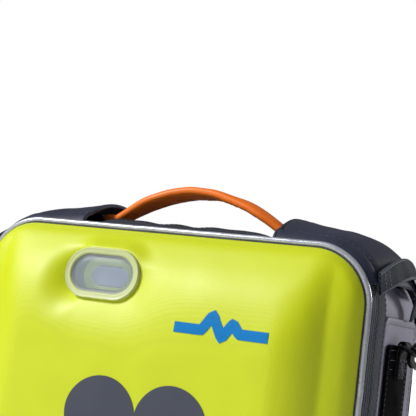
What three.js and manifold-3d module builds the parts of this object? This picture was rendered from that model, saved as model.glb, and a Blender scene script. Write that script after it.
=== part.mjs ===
// Automated external defibrillator in its zipped carry case.
// Frame: millimetres, +Z up, the case's front faces -Y, and the origin is the middle of the base.
import * as THREE from 'three';
import { mergeVertices } from 'three/addons/utils/BufferGeometryUtils.js';
import Module from 'manifold-3d';

const wasm = await Module();
wasm.setup();

// ---- Driving dimensions ----
const HALF_WIDTH = 142;        // case, to the outside of the piping
const TOP = 300;               // top of the piping
const BOTTOM = 2;              // underside of the piping
const CORNER_R = 40;           // corner radius of the piping's outline
const REAR_Y = 75;             // back of the tub
const TUB_FRONT_Y = -46;       // front edge of the tub's wall
const ZIP_Y = -60;             // the plane where lid and tub part
const PIPING_Y = -75;          // centre plane of the piping
const PIPING_R = 2.2;
const LID_FACE_Y = -112;       // front of the raised panel
const WALL = 4;                // foam-cored fabric wall
const GAP = 0.3;               // between neighbouring pieces
const TAPE = 2;                // zipper tape with its backing
const CORNER_STEPS = 6;
const HANDLE_Y = -28;
const HANDLE_PIVOT_Z = 305.5;
const HINGE_Y = -59;

// Device that the case carries.
const DEVICE = { halfWidth: 118, bottom: 32, top: 279, front: -77, rear: 50, radius: 24, wall: 3 };
const SPLIT_Y = -8;            // where the device's two housings meet

const X_AXIS = new THREE.Vector3(1, 0, 0);
const Y_AXIS = new THREE.Vector3(0, 1, 0);
const Z_AXIS = new THREE.Vector3(0, 0, 1);

const model = new THREE.Group();

// ---- Materials ----
function matte(colour, roughness = 0.8, metalness = 0) {
  return new THREE.MeshStandardMaterial({ color: colour, roughness, metalness });
}
const limeFabric = matte(0xd3e022, 0.7);
const silverCord = matte(0xc9ccd2, 0.4);
const navyFabric = matte(0x3a3d50, 0.6);
const greyPanel = matte(0x8f8a9c, 0.75);
const blackFabric = matte(0x202028, 0.7);
const tapeGrey = matte(0x5d6a72, 0.85);
const coilGrey = matte(0x39434b, 0.45);
const webbingGrey = matte(0x55605f, 0.85);
const blackWebbing = matte(0x17171c, 0.8);
const orangeVinyl = matte(0xe0661f, 0.5);
const markBlue = matte(0x0a74c4, 0.5);
const markGrey = matte(0x454a5c, 0.5);
const frostedRing = matte(0xc9d6a8, 0.3);
const clearPlastic = matte(0xdfe6ea, 0.1);
const steel = matte(0x9a9ca2, 0.3, 1);
const blackMetal = matte(0x15151a, 0.25, 0.6);
const foamGrey = matte(0x4a4c52, 0.9);
const rubberBlack = matte(0x1c1d20, 0.9);
const housingGrey = matte(0x3c424b, 0.6);
const housingLime = matte(0xc8d82a, 0.45);
const screenGlass = matte(0x0d1218, 0.08);
const boardGreen = matte(0x1e6b3a, 0.6);
const buttonRed = matte(0xe05a1a, 0.4);
const buttonGreen = matte(0x36a34a, 0.4);
const buttonBlue = matte(0x2f74c0, 0.4);
const lavender = matte(0xb3acd0, 0.35);
const packetSilver = matte(0xb8bcc0, 0.35, 0.4);

// ---- Geometry helpers ----
function add(name, geometry, material, parent = model) {
  const mesh = new THREE.Mesh(geometry, material);
  mesh.name = name;
  parent.add(mesh);
  return mesh;
}

function bare(geometry) {
  const copy = geometry.clone();
  copy.deleteAttribute('normal');
  copy.deleteAttribute('uv');
  return mergeVertices(copy, 1e-4);
}

function solid(geometry) {
  const merged = bare(geometry);
  return new wasm.Manifold(new wasm.Mesh({
    numProp: 3,
    vertProperties: new Float32Array(merged.attributes.position.array),
    triVerts: new Uint32Array(merged.index.array),
  }));
}

function geometryOf(body) {
  const mesh = body.getMesh();
  const geometry = new THREE.BufferGeometry();
  const points = new Float32Array(mesh.numVert * 3);
  for (let i = 0; i < mesh.numVert; i += 1) {
    for (let k = 0; k < 3; k += 1) {
      points[i * 3 + k] = mesh.vertProperties[i * mesh.numProp + k];
    }
  }
  geometry.setAttribute('position', new THREE.BufferAttribute(points, 3));
  geometry.setIndex(new THREE.BufferAttribute(new Uint32Array(mesh.triVerts), 1));
  return geometry;
}

function cut(geometry, ...tools) {
  return geometryOf(tools.reduce((body, tool) => body.subtract(solid(tool)), solid(geometry)));
}

function join(...geometries) {
  const [first, ...rest] = geometries.map(solid);
  return geometryOf(rest.reduce((body, next) => body.add(next), first));
}

function box(x0, x1, y0, y1, z0, z1) {
  const geometry = new THREE.BoxGeometry(x1 - x0, y1 - y0, z1 - z0);
  return geometry.translate((x0 + x1) / 2, (y0 + y1) / 2, (z0 + z1) / 2);
}

function rod(radius, from, to, sides = 16) {
  const along = to.clone().sub(from);
  const geometry = new THREE.CylinderGeometry(radius, radius, along.length(), sides);
  geometry.applyQuaternion(new THREE.Quaternion().setFromUnitVectors(Y_AXIS, along.normalize()));
  const middle = from.clone().add(to).multiplyScalar(0.5);
  return geometry.translate(middle.x, middle.y, middle.z);
}

// Fans a planar ring into triangles; the ring may be concave.
function capFaces(ring, first) {
  const normal = new THREE.Vector3();
  ring.forEach((p, i) => {
    const q = ring[(i + 1) % ring.length];
    normal.x += (p.y - q.y) * (p.z + q.z);
    normal.y += (p.z - q.z) * (p.x + q.x);
    normal.z += (p.x - q.x) * (p.y + q.y);
  });
  normal.normalize();
  const helper = Math.abs(normal.z) < 0.9 ? Z_AXIS : X_AXIS;
  const u = new THREE.Vector3().crossVectors(helper, normal).normalize();
  const v = new THREE.Vector3().crossVectors(normal, u);
  const flat = ring.map((p) => new THREE.Vector2(p.dot(u), p.dot(v)));
  return THREE.ShapeUtils.triangulateShape(flat, []).map((f) => f.map((i) => i + first));
}

// Skins rings of equal length into one closed body: capped at both ends, or joined end to end.
function loft(rings, closed = false) {
  const count = rings[0].length;
  const faces = [];
  const last = closed ? rings.length : rings.length - 1;
  for (let r = 0; r < last; r += 1) {
    const a = r * count;
    const b = ((r + 1) % rings.length) * count;
    for (let i = 0; i < count; i += 1) {
      const j = (i + 1) % count;
      faces.push([a + i, a + j, b + j], [a + i, b + j, b + i]);
    }
  }
  if (!closed) {
    faces.push(...capFaces(rings[0], 0).map(([p, q, s]) => [p, s, q]));
    faces.push(...capFaces(rings[rings.length - 1], (rings.length - 1) * count));
  }
  const points = rings.flat();
  const volume = faces.reduce((sum, [p, q, s]) => {
    const cross = new THREE.Vector3().crossVectors(points[q], points[s]);
    return sum + points[p].dot(cross);
  }, 0);
  const index = volume < 0 ? faces.map(([p, q, s]) => [p, s, q]) : faces;
  const geometry = new THREE.BufferGeometry().setFromPoints(points);
  geometry.setIndex(index.flat());
  return geometry;
}

// The case's outline in XZ, moved outwards by `off`: from the bottom left, up, over and down.
function outline(off, topOff = off) {
  const radius = Math.max(8, CORNER_R + off);
  const halfX = HALF_WIDTH + off - radius;
  const low = BOTTOM - off + radius;
  const high = TOP + topOff - radius;
  const corners = [
    { x: -halfX, z: low, start: 270 },
    { x: -halfX, z: high, start: 180 },
    { x: halfX, z: high, start: 90 },
    { x: halfX, z: low, start: 0 },
  ];
  return corners.flatMap((corner) => {
    const points = [];
    for (let i = 0; i <= CORNER_STEPS; i += 1) {
      const angle = THREE.MathUtils.degToRad(corner.start - (90 * i) / CORNER_STEPS);
      points.push(new THREE.Vector2(
        corner.x + radius * Math.cos(angle),
        corner.z + radius * Math.sin(angle),
      ));
    }
    return points;
  });
}

function ringAt(y, off, topOff = off) {
  return outline(off, topOff).map((p) => new THREE.Vector3(p.x, y, p.y));
}

// A cup whose wall is drawn by [offset, y] or [offset, y, top offset] rows.
function cup(rows) {
  return loft(rows.map(([off, y, topOff]) => ringAt(y, off, topOff ?? off)));
}

// A band with a rectangular section that follows the outline.
function band(offIn, offOut, y0, y1, { closed = false, skip = 0 } = {}) {
  const inner = outline(offIn);
  const outer = outline(offOut);
  const rings = inner.map((p, i) => [
    new THREE.Vector3(p.x, y0, p.y),
    new THREE.Vector3(outer[i].x, y0, outer[i].y),
    new THREE.Vector3(outer[i].x, y1, outer[i].y),
    new THREE.Vector3(p.x, y1, p.y),
  ]);
  return loft(rings.slice(skip, rings.length - skip), closed);
}

// A round cord that follows the whole outline.
function cordLoop(off, y, radius, sides = 8) {
  const path = outline(off);
  const outward = outline(off + 1);
  const rings = path.map((p, i) => {
    const out = new THREE.Vector3(outward[i].x - p.x, 0, outward[i].y - p.y).normalize();
    const centre = new THREE.Vector3(p.x, y, p.y);
    return circle(centre, out, Y_AXIS, radius, sides);
  });
  return loft(rings, true);
}

function circle(centre, u, v, radius, sides = 8) {
  const points = [];
  for (let i = 0; i < sides; i += 1) {
    const angle = (2 * Math.PI * i) / sides;
    points.push(centre.clone()
      .addScaledVector(u, radius * Math.cos(angle))
      .addScaledVector(v, radius * Math.sin(angle)));
  }
  return points;
}

function roundedShape(x0, x1, z0, z1, radius, steps = 5) {
  const shape = new THREE.Shape();
  shape.absarc(x1 - radius, z1 - radius, radius, 0, Math.PI / 2);
  shape.absarc(x0 + radius, z1 - radius, radius, Math.PI / 2, Math.PI);
  shape.absarc(x0 + radius, z0 + radius, radius, Math.PI, 1.5 * Math.PI);
  shape.absarc(x1 - radius, z0 + radius, radius, 1.5 * Math.PI, 2 * Math.PI);
  shape.closePath();
  return new THREE.Shape(shape.getPoints(steps).slice(0, -1));
}

// Extrudes a shape drawn in XZ from y0 to y1.
function facing(shape, y0, y1, steps = 5) {
  const settings = { depth: y1 - y0, bevelEnabled: false, curveSegments: steps };
  return new THREE.ExtrudeGeometry(shape, settings).rotateX(Math.PI / 2).translate(0, y1, 0);
}

// Extrudes a shape drawn in YZ from x0 to x1.
function sideways(shape, x0, x1, steps = 5) {
  const settings = { depth: x1 - x0, bevelEnabled: false, curveSegments: steps };
  const turn = new THREE.Matrix4().makeBasis(Y_AXIS, Z_AXIS, X_AXIS);
  return new THREE.ExtrudeGeometry(shape, settings).applyMatrix4(turn).translate(x0, 0, 0);
}

function upright(shape, z0, z1, steps = 5) {
  const settings = { depth: z1 - z0, bevelEnabled: false, curveSegments: steps };
  return new THREE.ExtrudeGeometry(shape, settings).translate(0, 0, z0);
}

function roundedPlate(x0, x1, z0, z1, radius, y0, y1) {
  return facing(roundedShape(x0, x1, z0, z1, radius), y0, y1);
}

function mirrored(side, low, high) {
  return side > 0 ? [low, high] : [-high, -low];
}

const SIDES = [['right', 1], ['left', -1]];

// ---- Case: tub, panels and base ----
function makeTub() {
  const back = REAR_Y - 2.5;
  add('tub_shell', cup([
    [-4 - WALL, back - WALL], [-4 - WALL, TUB_FRONT_Y], [-4, TUB_FRONT_Y], [-4, back - 6], [-9, back],
  ]), navyFabric);
  add('tub_zipper_tape', band(-1.7 - TAPE, -1.7, ZIP_Y + GAP, -33.5, { skip: 1 }), tapeGrey);
  add('tub_zipper_coil', band(-5.7, -1.7 - TAPE - GAP, ZIP_Y + GAP, ZIP_Y + 2.6, { skip: 7 }), coilGrey);
  add('hinge_strip', box(-97, 97, HINGE_Y + 0.5, TUB_FRONT_Y - GAP, 3.7, 5.7), tapeGrey);
  add('rear_binding', cordLoop(-1.8, back - 4, 1.7, 8), blackFabric);
  add('back_panel', roundedPlate(-120, 120, 22, 280, 24, back + GAP, REAR_Y), greyPanel);
  const foot = new THREE.Shape([
    new THREE.Vector2(-50, 0), new THREE.Vector2(62, 0), new THREE.Vector2(62, 5.7),
    new THREE.Vector2(-29, 5.7), new THREE.Vector2(-29, 3.4), new THREE.Vector2(-50, 3.4),
  ]);
  add('base_pad', sideways(foot, -96, 96), rubberBlack);
}

function makeSidePanels() {
  for (const [side, s] of SIDES) {
    const [p0, p1] = mirrored(s, HALF_WIDTH - 3.7, HALF_WIDTH - 1.2);
    const panel = roundedShape(-31.5, 64, 46, 259, 10, 3);
    add(`side_panel_${side}`, sideways(panel, p0, p1), greyPanel);
    const [q0, q1] = mirrored(s, HALF_WIDTH - 0.9, HALF_WIDTH + 2);
    const pocket = roundedShape(-26, 34, 46, 241, 5, 3);
    add(`side_pocket_${side}`, sideways(pocket, q0, q1), blackFabric);
  }
}

// Height of the corner cover above the outline, along its way from its mouth to its side end.
const COVER_MOUTH_X = 65;
const COVER_STATIONS = [
  { x: COVER_MOUTH_X, h: 20 }, { x: 76, h: 18.4 }, { x: 89, h: 16.2 }, { x: 102, h: 14.4 },
  { angle: 78, h: 14.2 }, { angle: 66, h: 14.4 }, { angle: 54, h: 14.6 },
  { angle: 42, h: 14.4 }, { angle: 32, h: 13 }, { angle: 24, h: 10.5 },
];
const COVER_WALL = 2.6;
const COVER_FRONT_Y = -72;
const COVER_REAR_Y = 60;

function coverRing({ x, angle, h }, s) {
  const lean = angle === undefined ? Math.PI / 2 : THREE.MathUtils.degToRad(angle);
  const out = new THREE.Vector2(Math.cos(lean), Math.sin(lean));
  const centre = new THREE.Vector2(x ?? HALF_WIDTH - CORNER_R, TOP - CORNER_R);
  const steps = 8;
  const arch = (y0, y1, rise) => {
    const points = [];
    for (let i = 0; i <= steps; i += 1) {
      const t = i / steps;
      const lift = 0.5 + rise * Math.sin(Math.PI * t) ** 0.7;
      const reach = CORNER_R + lift;
      points.push(new THREE.Vector3(
        s * (centre.x + out.x * reach),
        y0 + (y1 - y0) * t,
        centre.y + out.y * reach,
      ));
    }
    return points;
  };
  const outer = arch(COVER_FRONT_Y, COVER_REAR_Y, h - 0.5);
  const inner = arch(COVER_FRONT_Y + COVER_WALL, COVER_REAR_Y - COVER_WALL, h - 0.5 - COVER_WALL);
  return [...outer, ...inner.reverse()];
}

function makeCovers() {
  for (const [side, s] of SIDES) {
    add(`corner_cover_${side}`, loft(COVER_STATIONS.map((row) => coverRing(row, s))), navyFabric);
  }
}

// ---- Carrying handle ----
const HANDLE = { half: 66.3, rise: 26, foot: 305.3, width: 19, footWidth: 14, thick: 4.2, pinX: 77 };

function makeHandle() {
  const rings = [];
  const steps = 20;
  for (let i = 0; i <= steps; i += 1) {
    const u = -1 + (2 * i) / steps;
    const x = u * (HANDLE.half + 4);
    const z = HANDLE.foot + HANDLE.rise * (1 - (x / HANDLE.half) ** 2);
    const slope = (-2 * HANDLE.rise * x) / HANDLE.half ** 2;
    const normal = new THREE.Vector3(-slope, 0, 1).normalize();
    const centre = new THREE.Vector3(x, HANDLE_Y, z);
    const taper = THREE.MathUtils.smoothstep(Math.abs(x), HANDLE.half - 26, HANDLE.half - 4);
    const width = THREE.MathUtils.lerp(HANDLE.width, HANDLE.footWidth, taper);
    rings.push([[-1, -1], [1, -1], [1, 1], [-1, 1]].map(([a, b]) => centre.clone()
      .addScaledVector(Y_AXIS, (a * width) / 2)
      .addScaledVector(normal, (b * HANDLE.thick) / 2)));
  }
  const sleeves = [-1, 1].map((s) => rod(
    5, pinPoint(s * (HANDLE.pinX - 10)), pinPoint(s * HANDLE.pinX), 16,
  ));
  const bores = [-1, 1].map((s) => rod(
    2.9, pinPoint(s * (HANDLE.pinX - 8)), pinPoint(s * (HANDLE.pinX + 1)), 16,
  ));
  add('handle_strap', cut(join(loft(rings), ...sleeves), ...bores), orangeVinyl);
  for (const [side, s] of SIDES) {
    const [x0, x1] = mirrored(s, HANDLE.pinX + 2, HANDLE.pinX + 14);
    const base = box(x0, x1, HANDLE_Y - 12, HANDLE_Y + 12, TOP - 1.4, TOP + 1);
    const post = box(x0, x1, HANDLE_Y - 4, HANDLE_Y + 4, TOP, HANDLE_PIVOT_Z + 4);
    const pin = rod(2.5, pinPoint(s * (HANDLE.pinX - 7)), pinPoint(s * (HANDLE.pinX + 6)), 16);
    add(`handle_anchor_${side}`, join(base, post, pin), blackMetal);
  }
}

function pinPoint(x) {
  return new THREE.Vector3(x, HANDLE_Y, HANDLE_PIVOT_Z);
}

// ---- Diagonal webbing over each upper corner ----
const WEBBING_ROUTE = [
  [144.2, -61, 271], [147.6, -50, 280], [150.6, -33, 287], [152.4, -14, 289.5],
  [152.2, 5, 286], [149.6, 20, 277], [146.3, 29, 264], [143.4, 33, 252],
];
const WEBBING = { width: 22, thick: 2 };

function makeWebbing() {
  for (const [side, s] of SIDES) {
    const points = WEBBING_ROUTE.map(([x, y, z]) => new THREE.Vector3(s * x, y, z));
    add(`corner_webbing_${side}`, ribbon(points, 14, WEBBING, () => new THREE.Vector3(s, 0, 0)), webbingGrey);
  }
}

// A flat strap along a smooth curve; `facingOf(t)` gives the way its flat side faces.
function ribbon(points, steps, { width, thick }, facingOf) {
  const curve = new THREE.CatmullRomCurve3(points, false, 'centripetal');
  const rings = [];
  for (let i = 0; i <= steps; i += 1) {
    const t = i / steps;
    const centre = curve.getPointAt(t);
    const tangent = curve.getTangentAt(t);
    const across = new THREE.Vector3().crossVectors(facingOf(t), tangent).normalize();
    const normal = new THREE.Vector3().crossVectors(tangent, across).normalize();
    rings.push([[-1, -1], [1, -1], [1, 1], [-1, 1]].map(([a, b]) => centre.clone()
      .addScaledVector(across, (a * width) / 2)
      .addScaledVector(normal, (b * thick) / 2)));
  }
  return loft(rings);
}

// ---- Shoulder-strap hardware ----
const LUG = { x: 147.7, y: -1, z: 241, eye: 3.4, bore: 1.9 };   // round the ring's straight bar
const RING = { half: 12, reach: 13.4, wire: 1.5, droop: 24.8 };
const HOOK_CENTRE = { x: 162.2, y: 1.9, z: 237.5 };
const STRAP_WAY = { x: 0.2, y: 0.78, z: -0.59 };     // the way the strap leaves the case
const HOOK = { radius: 11.8, wire: 2.1, stemEnd: 24, eyeStart: 25, eyeEnd: 44, eyeHalf: 16.5 };

function makeLug(side, s) {
  const group = new THREE.Group();
  group.position.set(s * LUG.x, LUG.y, LUG.z);
  model.add(group);
  // Section in local XZ: a flat tail down the side and an eye round the bar.
  const [t0, t1] = mirrored(s, -3.3, -1.5);
  const tail = box(t0, t1, -8.5, 8.5, -22, -1);
  const eye = rod(LUG.eye, new THREE.Vector3(0, -8.5, 0), new THREE.Vector3(0, 8.5, 0), 20);
  const bore = rod(LUG.bore, new THREE.Vector3(0, -10, 0), new THREE.Vector3(0, 10, 0), 20);
  add(`strap_lug_${side}`, cut(join(tail, eye), bore), blackWebbing, group);
  const path = [];
  const corner = 4;
  const [nearX, farX] = [0, RING.reach];
  const turns = [
    { x: farX - corner, y: RING.half - corner, start: 0 },
    { x: nearX + 2.2, y: RING.half - 2.2, start: 90, r: 2.2 },
    { x: nearX + 2.2, y: -RING.half + 2.2, start: 180, r: 2.2 },
    { x: farX - corner, y: -RING.half + corner, start: 270 },
  ];
  for (const turn of turns) {
    for (let i = 0; i <= 3; i += 1) {
      const angle = THREE.MathUtils.degToRad(turn.start + 30 * i);
      const r = turn.r ?? corner;
      path.push([turn.x + r * Math.cos(angle), turn.y + r * Math.sin(angle)]);
    }
  }
  const drop = THREE.MathUtils.degToRad(RING.droop);
  const outwards = new THREE.Vector3(s * Math.cos(drop), 0, -Math.sin(drop));
  const across = new THREE.Vector3().crossVectors(outwards, Y_AXIS).normalize();
  const centres = path.map(([a, b]) => outwards.clone().multiplyScalar(a).addScaledVector(Y_AXIS, b));
  const rings = centres.map((centre, i) => {
    const before = centres[(i + centres.length - 1) % centres.length];
    const after = centres[(i + 1) % centres.length];
    const tangent = after.clone().sub(before).normalize();
    return circle(centre, new THREE.Vector3().crossVectors(tangent, across), across, RING.wire, 8);
  });
  add(`d_ring_${side}`, loft(rings, true), blackMetal, group);
}

// The hook lies in its local XY plane: +X along the strap, the gate on the +Y side.
function arcBar(fromDeg, toDeg, radius, wire, steps) {
  const rings = [];
  for (let i = 0; i <= steps; i += 1) {
    const angle = THREE.MathUtils.degToRad(fromDeg + ((toDeg - fromDeg) * i) / steps);
    const out = new THREE.Vector3(Math.cos(angle), Math.sin(angle), 0);
    rings.push(circle(out.clone().multiplyScalar(radius), out, Z_AXIS, wire, 8));
  }
  return loft(rings);
}

function hookGroup(s) {
  const along = new THREE.Vector3(s * STRAP_WAY.x, STRAP_WAY.y, STRAP_WAY.z).normalize();
  const view = new THREE.Vector3(s * -0.404, 0.908, 0.11);
  const normal = view.addScaledVector(along, -view.dot(along)).normalize();
  const across = new THREE.Vector3().crossVectors(normal, along);
  const group = new THREE.Group();
  group.quaternion.setFromRotationMatrix(new THREE.Matrix4().makeBasis(along, across, normal));
  group.position.set(s * HOOK_CENTRE.x, HOOK_CENTRE.y, HOOK_CENTRE.z);
  model.add(group);
  return group;
}

function makeHook(side, s) {
  const group = hookGroup(s);
  const at = (x) => new THREE.Vector3(x, 0, 0);
  const head = arcBar(-4, -288, HOOK.radius, HOOK.wire, 18);
  const stem = rod(3.8, at(HOOK.radius - 1.2), at(HOOK.stemEnd), 12);
  const pin = rod(2.1, at(HOOK.stemEnd - 1), at(31.6), 12);
  const flange = rod(3.4, at(31.4), at(33), 12);
  add(`snap_hook_${side}`, join(head, stem, pin, flange), blackMetal, group);
  add(`snap_gate_${side}`, arcBar(30, 67, HOOK.radius, HOOK.wire - 0.4, 5), steel, group);
  const frame = roundedShape(HOOK.eyeStart, HOOK.eyeEnd, -HOOK.eyeHalf, HOOK.eyeHalf, 3, 3);
  frame.holes.push(roundedShape(31, 40, -13, 13, 1.5, 3));
  const plate = upright(frame, -2.6, 2.6, 3);
  const bore = rod(2.5, at(HOOK.eyeStart - 1), at(32), 12);
  add(`strap_eye_${side}`, cut(plate, bore), blackMetal, group);
}

// ---- Shoulder strap: right half of its route, from the eye to the middle ----
const STRAP_ROUTE = [
  [171.6, 38.3, 210], [173.6, 58.5, 192.5], [172.5, 78, 168], [168, 94, 138], [162, 105, 107],
  [154, 112, 77], [143, 117, 49], [129, 121, 24], [110, 124, 7.5], [87, 125, 1.7],
  [58, 125, 1.6], [29, 125, 1.6], [0, 125, 1.6],
];
const STRAP = { width: 25, thick: 2 };

function makeStrap() {
  const right = STRAP_ROUTE.map(([x, y, z]) => new THREE.Vector3(x, y, z));
  const left = STRAP_ROUTE.slice(0, -1).map(([x, y, z]) => new THREE.Vector3(-x, y, z)).reverse();
  // The flat side faces the case at the hooks and faces down on the floor.
  const facingOf = (t) => {
    const s = t < 0.5 ? 1 : -1;
    const share = THREE.MathUtils.smoothstep(1 - 2 * Math.abs(t - 0.5), 0, 0.75);
    return new THREE.Vector3(s * -0.63, 0.57, 0.53).lerp(new THREE.Vector3(-s, 0, 0.9), share);
  };
  add('shoulder_strap', ribbon([...right, ...left], 44, STRAP, facingOf), blackWebbing);
  const pad = new THREE.Shape();
  pad.absellipse(0, 125, 82, 26, 0, 2 * Math.PI);
  add('shoulder_pad', upright(new THREE.Shape(pad.getPoints(24).slice(0, -1)), 3.2, 13), blackFabric);
}

// ---- Zipper sliders ----
const SLIDER_REST_Z = { lower: 118, upper: 158 };

function makeSlider(place, z) {
  const x = -HALF_WIDTH + 1.7 - GAP;
  const plate = box(x - 1.8, x, ZIP_Y - 4.5, ZIP_Y + 4.5, z - 7, z + 7);
  const bridge = box(x - 3.6, x - 1.7, ZIP_Y - 1.5, ZIP_Y + 1.5, z - 5, z + 5);
  add(`slider_${place}`, join(plate, bridge), steel);
  const tab = roundedShape(ZIP_Y - 4, ZIP_Y + 4, z - 32, z - 6.5, 3, 3);
  add(`pull_tab_${place}`, sideways(tab, x - 4, x - 2.1), orangeVinyl);
}

// ---- Lid ----
const WINDOW = { x: -35, z: 263.5, halfX: 27.5, halfZ: 17, rim: 4.5 };
const LID_OUTSIDE = [
  [-60, LID_FACE_Y, -70], [-45, -110.5, -52], [-37, -107.5, -40], [-33, -103, -32],
  [-23.6, -90, -18], [-12, -87, -11], [-7, -82, -7], [-4.8, -77, -4.8], [-4.8, -72.5, -4.8],
];
const LID_INSIDE = [
  [-8.3, -72.5, -8.3], [-8.3, -76, -8.3], [-10.2, -80, -10.2], [-14, -84, -14], [-26, -87, -23],
  [-35.5, -100.5, -36], [-38.5, -104, -43], [-46, -107, -54], [-60, -108.5, -72],
];

function ovalPlate(halfX, halfZ, y0, y1) {
  const { x, z } = WINDOW;
  return facing(roundedShape(x - halfX, x + halfX, z - halfZ, z + halfZ, halfZ - 0.01, 10), y0, y1);
}

function makeLid() {
  const windowCut = ovalPlate(WINDOW.halfX + 3.5, WINDOW.halfZ + 3.5, -130, -82);
  add('lid_shell', cut(cup([...LID_OUTSIDE, ...LID_INSIDE]), windowCut), limeFabric);
  add('lid_piping', cordLoop(-PIPING_R, PIPING_Y, PIPING_R), silverCord);
  add('lid_zipper_tape', band(-1.7 - TAPE, -1.7, PIPING_Y + 2.6, ZIP_Y - GAP, { closed: true }), tapeGrey);
  add('lid_zipper_coil', band(-5.7, -1.7 - TAPE - GAP, ZIP_Y - 2.6, ZIP_Y - GAP, { skip: 7 }), coilGrey);
  const rimPlate = ovalPlate(WINDOW.halfX + 3.2, WINDOW.halfZ + 3.2, -100, -95.5);
  const rimHole = ovalPlate(WINDOW.halfX - WINDOW.rim, WINDOW.halfZ - WINDOW.rim, -110, -90);
  add('window_rim', cut(rimPlate, rimHole), frostedRing);
  const lens = ovalPlate(WINDOW.halfX - WINDOW.rim - GAP, WINDOW.halfZ - WINDOW.rim - GAP, -99, -97);
  add('window_lens', lens, clearPlastic);
  add('lid_pocket', roundedPlate(-95, 95, 45, 215, 12, -102.5, -100.6), blackFabric);
}

// Printed marks on the raised panel.
function makePulseMark() {
  const [x0, x1, low, high, middle] = [25, 88, 229, 248, 236];
  const half = 2.6;
  const width = x1 - x0;
  const beat = [
    [0, middle], [0.3, middle], [0.4, high - half], [0.52, low + half], [0.62, middle + 6],
    [0.7, middle], [1, middle],
  ].map(([u, z]) => new THREE.Vector2(x0 + u * width, z));
  const side = (sign) => beat.map((p, i) => {
    const before = beat[Math.max(0, i - 1)];
    const after = beat[Math.min(beat.length - 1, i + 1)];
    const a = p.clone().sub(before).normalize();
    const b = after.clone().sub(p).normalize();
    const way = a.add(b).normalize();
    return new THREE.Vector2(p.x - sign * way.y * half * 1.25, p.y + sign * way.x * half * 1.25);
  });
  const shape = new THREE.Shape([...side(1), ...side(-1).reverse()]);
  add('pulse_mark', facing(shape, LID_FACE_Y - 1.1, LID_FACE_Y - 0.3), markBlue);
}

function makeHeartMark() {
  const [middle, top, width, height] = [5.5, 199, 100, 88];
  const heart = [];
  const steps = 36;
  for (let i = 0; i < steps; i += 1) {
    const t = (2 * Math.PI * i) / steps;
    const across = 16 * Math.sin(t) ** 3;
    const up = 13 * Math.cos(t) - 5 * Math.cos(2 * t) - 2 * Math.cos(3 * t) - Math.cos(4 * t);
    heart.push(new THREE.Vector2(middle + (across * width) / 32, top + ((up - 12) * height) / 29));
  }
  const shape = new THREE.Shape(heart);
  const bolt = [[4, 19], [-11, -3], [-2, -3], [-4, -20], [11, 4], [2, 4]];
  const boltMiddle = top - 47;
  shape.holes.push(new THREE.Path(bolt.map(([a, b]) => new THREE.Vector2(middle + a, boltMiddle + b))));
  add('heart_mark', facing(shape, LID_FACE_Y - 1.1, LID_FACE_Y - 0.3), markGrey);
}

// ---- The device and its cradle ----
function deviceRing(y, inset) {
  const { halfWidth, bottom, top, radius } = DEVICE;
  const r = Math.max(6, radius - inset);
  const shape = roundedShape(-halfWidth + inset, halfWidth - inset, bottom + inset, top - inset, r);
  return shape.getPoints().map((p) => new THREE.Vector3(p.x, y, p.y));
}

function makeCradle() {
  const outer = facing(roundedShape(-132.5, 132.5, 11, 290, 30), TUB_FRONT_Y + 6, 68);
  const { halfWidth, bottom, top, rear, radius } = DEVICE;
  const hollow = facing(roundedShape(
    -halfWidth - 0.5, halfWidth + 0.5, bottom - 0.5, top + 0.5, radius,
  ), TUB_FRONT_Y, rear + 0.5);
  add('foam_cradle', cut(outer, hollow), foamGrey);
}

const SCREEN = { x: 45, z: 205, halfX: 52, halfZ: 36 };
const STATUS = { x0: -55, x1: -26, z0: 256, z1: 270 };
const BUTTONS = {
  power: { x: -62, z: 222, radius: 12 },
  child: { x: -26, z: 188, radius: 8 },
  shock: { x: -62, z: 150, radius: 17 },
};

function makeHousings() {
  const { front, rear, wall } = DEVICE;
  const rearRows = [
    [SPLIT_Y + GAP, wall], [rear - wall - 1, wall], [rear - wall, wall + 6],
  ].map(([y, inset]) => deviceRing(y, inset));
  const rearOuter = [[rear, 7], [rear - 7, 0], [SPLIT_Y + GAP, 0]].map(([y, inset]) => deviceRing(y, inset));
  const rearShell = loft([...rearOuter, ...rearRows]);
  const batteryBay = box(-78, 78, rear - 22, rear + 5, 62, 142);
  add('aed_rear_housing', cut(rearShell, batteryBay), housingGrey);
  const outer = [[SPLIT_Y - GAP, 0], [front + 12, 0], [front, 6]].map(([y, inset]) => deviceRing(y, inset));
  const inner = [[front + wall, 8], [front + 13, wall], [SPLIT_Y - GAP, wall]];
  const frontShell = loft([...inner.map(([y, inset]) => deviceRing(y, inset)), ...outer]);
  const { x, z, halfX, halfZ } = SCREEN;
  const cuts = [roundedPlate(x - halfX, x + halfX, z - halfZ, z + halfZ, 6, front - 5, front + 5)];
  for (const { x: bx, z: bz, radius } of Object.values(BUTTONS)) {
    cuts.push(buttonRod(bx, bz, radius + 0.5, front - 5, front + 5));
  }
  const { x0, x1, z0, z1 } = STATUS;
  cuts.push(roundedPlate(x0, x1, z0, z1, (z1 - z0) / 2 - 0.1, front - 5, front + 5));
  add('aed_front_housing', cut(frontShell, ...cuts), housingLime);
}

function buttonRod(x, z, radius, y0, y1) {
  return rod(radius, new THREE.Vector3(x, y0, z), new THREE.Vector3(x, y1, z), 24);
}

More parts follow.
